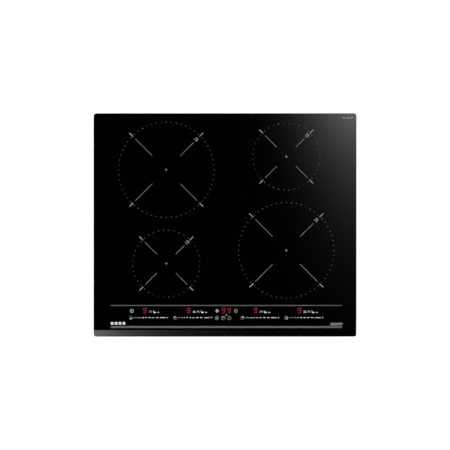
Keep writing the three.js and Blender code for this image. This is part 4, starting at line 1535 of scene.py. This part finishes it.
class HOB_OT_coils(bpy.types.Operator):
    """Make the windings, formers, ferrites, mica sheets, springs and sensors"""

    bl_idname = "hob.coils"
    bl_label = "Induction coils"

    def execute(self, context):
        settings = context.scene.hob_coils
        for zone in LARGE_ZONES + SMALL_ZONES:
            self.winding(zone, settings)
            self.former(zone)
            self.ferrites(zone, bars=8 if zone in LARGE_ZONES else 6)
            self.mica(zone, settings)
            self.spring(zone, settings)
            self.sensor(zone)
        return {"FINISHED"}

    @staticmethod
    def winding(zone, settings):
        """One litz wire wound in a flat spiral."""
        node, body = f"coil_winding_{zone}", f"coil_{zone}"
        at = extent(node)
        outer = at.size[0] / 2
        inner = (24 if zone in LARGE_ZONES else 18) * MM
        copper = material("copper_litz", litz, tuple(settings.copper), settings.strand)
        path = spiral(
            inner + settings.strand / 2, outer - settings.strand / 2, settings.pitch,
            at.foot, at.low[2] + settings.strand / 2 + 0.05 * MM)
        shell = swept(path, round_profile(settings.strand / 2, 10))
        piece(f"{node}_litz", [(shell, copper)], body, (node,))

    @staticmethod
    def former(zone):
        """A moulded disc with a rim, a hub and short ribs inside the rim."""
        node = f"coil_former_{zone}"
        at = extent(node)
        outer, height = at.size[0] / 2, at.size[2]
        floor = 2.1 * MM
        bore, hub, rim = 7 * MM, 10 * MM, 2 * MM
        profile = rounded_profile([
            [outer, 0], [outer, height], [outer - rim, height], [outer - rim, floor],
            [hub, floor], [hub, height], [bore, height], [bore, 0]], 0.5 * MM)
        disc = turned(profile, at.foot, 96, closed=True)
        reach, half, past = 4 * MM, 0.7 * MM, 1.2 * MM
        rib = box([-reach, -half, 0.6 * MM], [reach, half, height], 0.3 * MM)
        rib = moved(rib, [outer + past - reach, 0, 0])
        shells = [(disc, coil_plastic())]
        for turn in (np.arange(12) + 0.5) * np.pi / 6:
            shaped = clip_inside(turned_about(rib, turn), outer)
            shells.append((moved(shaped, at.foot), coil_plastic()))
        piece(f"{node}_moulded", shells, f"coil_{zone}", (node,))

    @staticmethod
    def ferrites(zone, bars):
        """Flat bars that reach out from a ring."""
        node = f"ferrite_star_{zone}"
        at = extent(node)
        foot = np.append(extent(f"coil_former_{zone}").foot[:2], at.low[2])
        height = at.size[2]
        start, half = 23 * MM, 6 * MM
        reach = extent(f"coil_former_{zone}").size[0] / 2 - 8 * MM
        bar = box([start, -half, 0.0], [reach, half, height], 0.6 * MM)
        shells = [
            (moved(turned_about(bar, (number + 0.5) * 2 * np.pi / bars), foot), fired_ferrite())
            for number in range(bars)
        ]
        outer, inner, tall = 26 * MM, 20 * MM, 5 * MM
        collar = rounded_profile([[outer, 0], [outer, tall], [inner, tall], [inner, 0]], 0.5 * MM)
        shells.append((turned(collar, foot, 64, closed=True), fired_ferrite()))
        piece(f"{node}_fired", shells, f"coil_{zone}", (node,))

    @staticmethod
    def mica(zone, settings):
        """A thin pressed sheet over the winding."""
        node = f"mica_sheet_{zone}"
        at = extent(node)
        outer, thickness = at.size[0] / 2, at.size[2]
        inner = 8.5 * MM
        pressed = material("pressed_mica", speckled, tuple(settings.mica), 0.6, 4 * MM)
        profile = rounded_profile(
            [[outer, 0], [outer, thickness], [inner, thickness], [inner, 0]], 0.1 * MM, 2)
        shell = turned(profile, at.foot, 96, closed=True)
        piece(f"{node}_pressed", [(shell, pressed)], f"coil_{zone}", (node,))

    @staticmethod
    def spring(zone, settings):
        """A conical spring that gives between its two flat end turns.

        Its radius falls evenly from 18 to 14 mm over 4.5 turns. Its height rises evenly, apart
        from the flat parts at both ends.
        """
        node = f"coil_spring_{zone}"
        at = extent(node)
        centre = extent(f"coil_former_{zone}").foot[:2]
        turns, wide, taper = 4.5, 18 * MM, 4 * MM
        flat, rising = 0.16, 0.68  # parts of the wire's length: each end, and between them
        wire = settings.spring_wire / 2
        done = np.linspace(0.0, 1.0, 260)
        angle = done * turns * 2 * np.pi
        rise = np.clip((done - flat) / rising, 0.0, 1.0)
        height = at.low[2] + wire + (at.size[2] - 2 * wire) * rise
        radius = wide - taper * done
        path = np.column_stack([
            centre[0] + radius * np.cos(angle), centre[1] + radius * np.sin(angle), height])
        shell = swept(path, round_profile(wire, 10))
        start = tuple(np.append(centre, at.low[2] + 2 * wire))
        end = tuple(np.append(centre, at.high[2] - 2 * wire))
        piece(
            f"{node}_wound", [(shell, spring_steel())], ROOT, (node,),
            gives=(f"coil_{zone}", start, end))

    @staticmethod
    def sensor(zone):
        """A glazed button on a stem, which a spring holds against the glass."""
        node = f"pan_sensor_{zone}"
        at = extent(node)
        foot, stem, cap = 5.5, 3.0, 6.2  # radii in millimetres, like the whole profile
        top = at.size[2] / MM
        profile = np.array([
            [0, 0], [foot - 0.4, 0], [foot, 0.4], [foot, 1.2], [foot - 0.4, 1.5],
            [stem + 0.5, 1.5], [stem, 2.0], [stem, 9.0], [stem + 0.6, 9.7],
            [cap - 0.3, 10.3], [cap, 10.7], [cap, top - 0.9],
            [cap - 0.3, top - 0.25], [cap - 0.9, top], [0, top],
        ])
        shell = turned(profile * MM, at.foot, 48)
        piece(f"{node}_glazed", [(shell, glazed_ceramic())], f"sensor_{zone}", (node,))


def clip_inside(shell, radius):
    """Draws points that lie outside an upright cylinder back onto it."""
    points = shell.points.copy()
    distance = np.linalg.norm(points[:, :2], axis=1)
    points[:, :2] *= np.minimum(1.0, radius / np.maximum(distance, 1e-9))[:, None]
    return shell._replace(points=points)


# ------------------------------------------------------------------ inner parts

class HOB_OT_trays(bpy.types.Operator):
    """Give the coil trays and the plastic carriers their finish and rounded edges"""

    bl_idname = "hob.trays"
    bl_label = "Trays and carriers"

    def execute(self, context):
        edge = context.scene.hob_inside.edge
        for side in SIDES:
            refined(f"coil_tray_{side}", aluminium(), 0.25 * MM)
            refined(f"board_carrier_{side}", black_plastic(), edge)
        refined("touch_carrier", black_plastic(), edge)
        return {"FINISHED"}


class HOB_OT_electronics(bpy.types.Operator):
    """Make the boards, heat sinks and capacitors"""

    bl_idname = "hob.electronics"
    bl_label = "Electronics"

    def execute(self, context):
        edge = context.scene.hob_inside.edge
        blue = material("blue_capacitor_case", moulded, (0.02, 0.06, 0.22), 0.35)
        relay = material("pale_relay_case", moulded, (0.42, 0.44, 0.46), 0.4)
        kinds = (blue, relay, black_plastic())
        for side in SIDES:
            self.fitted_board(f"power_board_{side}", kinds)
            refined(f"heat_sink_{side}", aluminium(), 0.3 * MM)
            refined(f"capacitor_bank_{side}", blue, edge)
        self.fitted_board("filter_board", kinds)
        self.choke()
        refined("touch_board", board_lacquer(), 0.2 * MM)
        refined("display_light_box", white_plastic(), 0.3 * MM)
        grey = material("grey_ribbon", ribbed, (0.3, 0.31, 0.33), 1.27 * MM)
        refined("ribbon_cable", grey, 0.1 * MM)
        return {"FINISHED"}

    @staticmethod
    def fitted_board(node, kinds):
        """A board whose components stand on a 1.6 mm laminate."""
        laminate = 1.6 * MM
        refined(node, board_lacquer(), 0.3 * MM,
                components=(extent(node).low[2] + laminate, kinds))

    @staticmethod
    def choke():
        """Two windings on a ring core. A wire's path winds N times round the core:

        ((R + r cos p) cos t, (R + r cos p) sin t, r sin p) with p = N t.
        """
        node = "line_choke"
        at = extent(node)
        tube = at.size[2] / 2
        wire = 0.85 * MM
        reach = at.size[0] / 2 - tube
        centre = at.foot + [0.0, 0.0, tube]
        copper = material("enamelled_copper", rolled, (0.55, 0.22, 0.09), 0.3, (1.0, 1.0, 1.0))
        core = turned(round_profile(tube - 1.9 * wire, 24) + [reach, 0.0], centre, 72, closed=True)
        shells = [(core, fired_ferrite())]
        steps, winds, gap = 900, 36.0, 0.5
        for start in (0.1, 0.1 + np.pi):
            angle = np.linspace(start, start + np.pi - gap, steps)
            wound = winds * (angle - start)
            around = np.column_stack([np.cos(angle), np.sin(angle), np.zeros(steps)])
            outward = around * np.cos(wound)[:, None] + np.sin(wound)[:, None] * [0.0, 0.0, 1.0]
            path = centre + reach * around + (tube - wire) * outward
            shells.append((swept(path, round_profile(wire, 8), sideways=outward), copper))
        piece(f"{node}_wound", shells, ROOT, (node,))


class HOB_OT_blowers(bpy.types.Operator):
    """Make the blower housings and their wheels"""

    bl_idname = "hob.blowers"
    bl_label = "Blowers"

    def execute(self, context):
        edge = context.scene.hob_inside.edge
        for side in SIDES:
            refined(f"fan_housing_{side}", black_plastic(), edge)
            refined(f"fan_impeller_{side}", grey_plastic(), 0.2 * MM)
        return {"FINISHED"}


class HOB_OT_mains(bpy.types.Operator):
    """Make the terminal box, its cover and the cable gland"""

    bl_idname = "hob.mains"
    bl_label = "Mains connection"

    def execute(self, context):
        edge = context.scene.hob_inside.edge
        refined("terminal_housing", white_plastic(), edge)
        refined("terminal_block", glazed_ceramic(), edge)
        refined("terminal_cover", black_plastic(), edge)
        refined("cable_gland", black_plastic(), edge)
        return {"FINISHED"}


# ------------------------------------------------------------------ stage

SENSOR_WIDTH = 36.0  # of the camera, in millimetres


class HOB_OT_stage(bpy.types.Operator):
    """Set the pale floor, the soft lights and the camera over the hob"""

    bl_idname = "hob.stage"
    bl_label = "Studio"

    def execute(self, context):
        settings = context.scene.hob_stage
        distance = settings.view_width * settings.lens / SENSOR_WIDTH
        self.floor(settings)
        self.camera(context, settings, distance)
        self.overhead_card(distance)
        self.lights(settings)
        self.surround(context, settings)
        context.scene.view_settings.view_transform = "Standard"
        return {"FINISHED"}

    @staticmethod
    def floor(settings):
        """A large pale floor that gives off a little light, so that no shadow turns dark.

        The light grows from `near` to `far` over `reach` metres, from `start` metres out.
        """
        near, far, start, reach = settings.floor_glow, 1.02, 0.6, 1.0
        finish = Finish("pale_floor")
        cloud = finish.noise(0.8, 2.0)
        base = tuple(settings.floor)
        finish.set("Base Color", finish.blend(cloud, shade(base, 0.985), shade(base, 1.0)))
        finish.set("Roughness", 0.9)
        finish.set("Specular IOR Level", 0.0)
        x, y, _ = finish.split(finish.place)
        away = finish.limited(((x * x + y * y) ** 0.5 - start) / reach)
        finish.set("Emission Color", finish.blend(away, (near, near, near), (far, far, far)))
        finish.set("Emission Strength", 1.0)
        sheet = slab(rectangle((0.0, 0.0), (60.0, 60.0), 1.0, 4), -0.02, -0.0004)
        floor = piece("studio_floor", [(sheet, finish.material)])

    @staticmethod
    def camera(context, settings, distance):
        """A long lens straight above the middle of the glass."""
        data = bpy.data.cameras.new("camera_over_hob")
        data.lens = settings.lens
        data.sensor_width = SENSOR_WIDTH
        data.clip_end = 100.0
        camera = bpy.data.objects.new("camera_over_hob", data)
        camera.location = (0.0, 0.0, GLASS_TOP + distance)
        context.scene.collection.objects.link(camera)
        context.scene.camera = camera

    @staticmethod
    def overhead_card(distance):
        """A dark card above the camera with two soft glows that the glass mirrors.

        A point of the glass shows the card at `spread` times its own place. The first glow fills
        the back right corner: exp(-((x - a) / b)^2) exp((y - c) / d), with (y - c) / d held at no
        more than 0.35. The second glow is what the front facet shows: the sum of two exponentials
        that fall off towards the right. The facet shows what lies in front of `facet_front`.
        """
        height = distance + 0.44
        spread = (distance + height) / distance
        mirror = 0.04  # share of light that plain glass reflects head-on
        a, b, c, d = 0.34, 0.122, 0.25, 0.1
        left_end, facet_front = -0.3, -0.55
        finish = Finish("overhead_card", Roughness=1.0)
        x, y, _ = finish.split(finish.place)
        across, back = x / spread, y / spread
        side = (across - a) / b
        upper = finish.maths("MINIMUM", (back - c) / d, 0.35)
        corner = finish.maths("EXPONENT", upper - side * side) * (0.121 / mirror)
        left = finish.maths("MAXIMUM", across - left_end, -0.05)
        facet = (
            finish.maths("EXPONENT", -13.5 * left) * (0.108 / mirror)
            + finish.maths("EXPONENT", -4.0 * left) * (0.006 / mirror)
        )
        in_front = finish.limited((facet_front - back) / 0.1)
        light = corner * (1 - in_front) + facet * in_front
        white = finish.node("ShaderNodeCombineColor", None, {0: light, 1: light, 2: light})
        finish.set("Base Color", (0.0, 0.0, 0.0, 1.0))
        finish.set("Specular IOR Level", 0.0)
        finish.set("Emission Color", white.outputs[0])
        finish.set("Emission Strength", 1.0)
        level = GLASS_TOP + height
        sheet = slab(rectangle((0.0, -0.8), (6.0, 6.4), 0.1, 4), level, level + 0.01)
        card = piece("overhead_card", [(sheet, finish.material)])

    @staticmethod
    def lights(settings):
        """Two large soft lights, front left and back right, that point at the hob."""
        diameter = 2.4
        for name, place in (("left", (-3.2, -2.6, 3.4)), ("right", (3.4, 2.2, 3.4))):
            data = bpy.data.lights.new(f"soft_light_{name}", "AREA")
            data.shape, data.size = "DISK", diameter
            data.energy = settings.key
            light = bpy.data.objects.new(f"soft_light_{name}", data)
            light.location = place
            aim = np.array(place) / np.linalg.norm(place)
            tilt, turn = math.acos(aim[2]), math.atan2(aim[1], aim[0]) + math.pi / 2
            light.rotation_euler = (tilt, 0.0, turn)
            bpy.context.scene.collection.objects.link(light)

    @staticmethod
    def surround(context, settings):
        """Bright walls that fade to a dark ceiling, by the height of the direction looked in."""
        world = bpy.data.worlds.new("studio")
        context.scene.world = world
        world.use_nodes = True
        graph = Graph(world.node_tree)
        place = graph.node("ShaderNodeTexCoord").outputs["Generated"]
        height = graph.split(place)[2]
        walls = graph.ramp(
            height, [(0.0, 1.0), (0.12, 1.0), (0.28, 0.34), (0.5, 0.12), (0.75, 0.0)])
        background = graph.node(
            "ShaderNodeBackground", None, {"Color": walls, "Strength": settings.surround})
        graph.node("ShaderNodeOutputWorld", None, {"Surface": background.outputs[0]})


# ------------------------------------------------------------------ add-on

OPERATORS = (
    HOB_OT_stage,
    HOB_OT_glass,
    HOB_OT_zone_print,
    HOB_OT_panel_print,
    HOB_OT_displays,
    HOB_OT_casing,
    HOB_OT_clamps,
    HOB_OT_coils,
    HOB_OT_trays,
    HOB_OT_electronics,
    HOB_OT_blowers,
    HOB_OT_mains,
)


class HOB_PT_pieces(bpy.types.Panel):
    """Lists the operators that make the hob"""

    bl_idname = "HOB_PT_pieces"
    bl_label = "Induction hob"
    bl_space_type = "VIEW_3D"
    bl_region_type = "UI"
    bl_category = "Hob"

    def draw(self, context):
        for operator in OPERATORS:
            self.layout.operator(operator.bl_idname)


def register():
    for name, group in SETTINGS:
        bpy.utils.register_class(group)
        setattr(bpy.types.Scene, name, PointerProperty(type=group))
    for operator in OPERATORS:
        bpy.utils.register_class(operator)
    bpy.utils.register_class(HOB_PT_pieces)


def unregister():
    bpy.utils.unregister_class(HOB_PT_pieces)
    for operator in reversed(OPERATORS):
        bpy.utils.unregister_class(operator)
    for name, group in reversed(SETTINGS):
        delattr(bpy.types.Scene, name)
        bpy.utils.unregister_class(group)


def main():
    register()
    for operator in OPERATORS:
        group, name = operator.bl_idname.split(".")
        getattr(getattr(bpy.ops, group), name)()


if __name__ == "__main__":
    main()
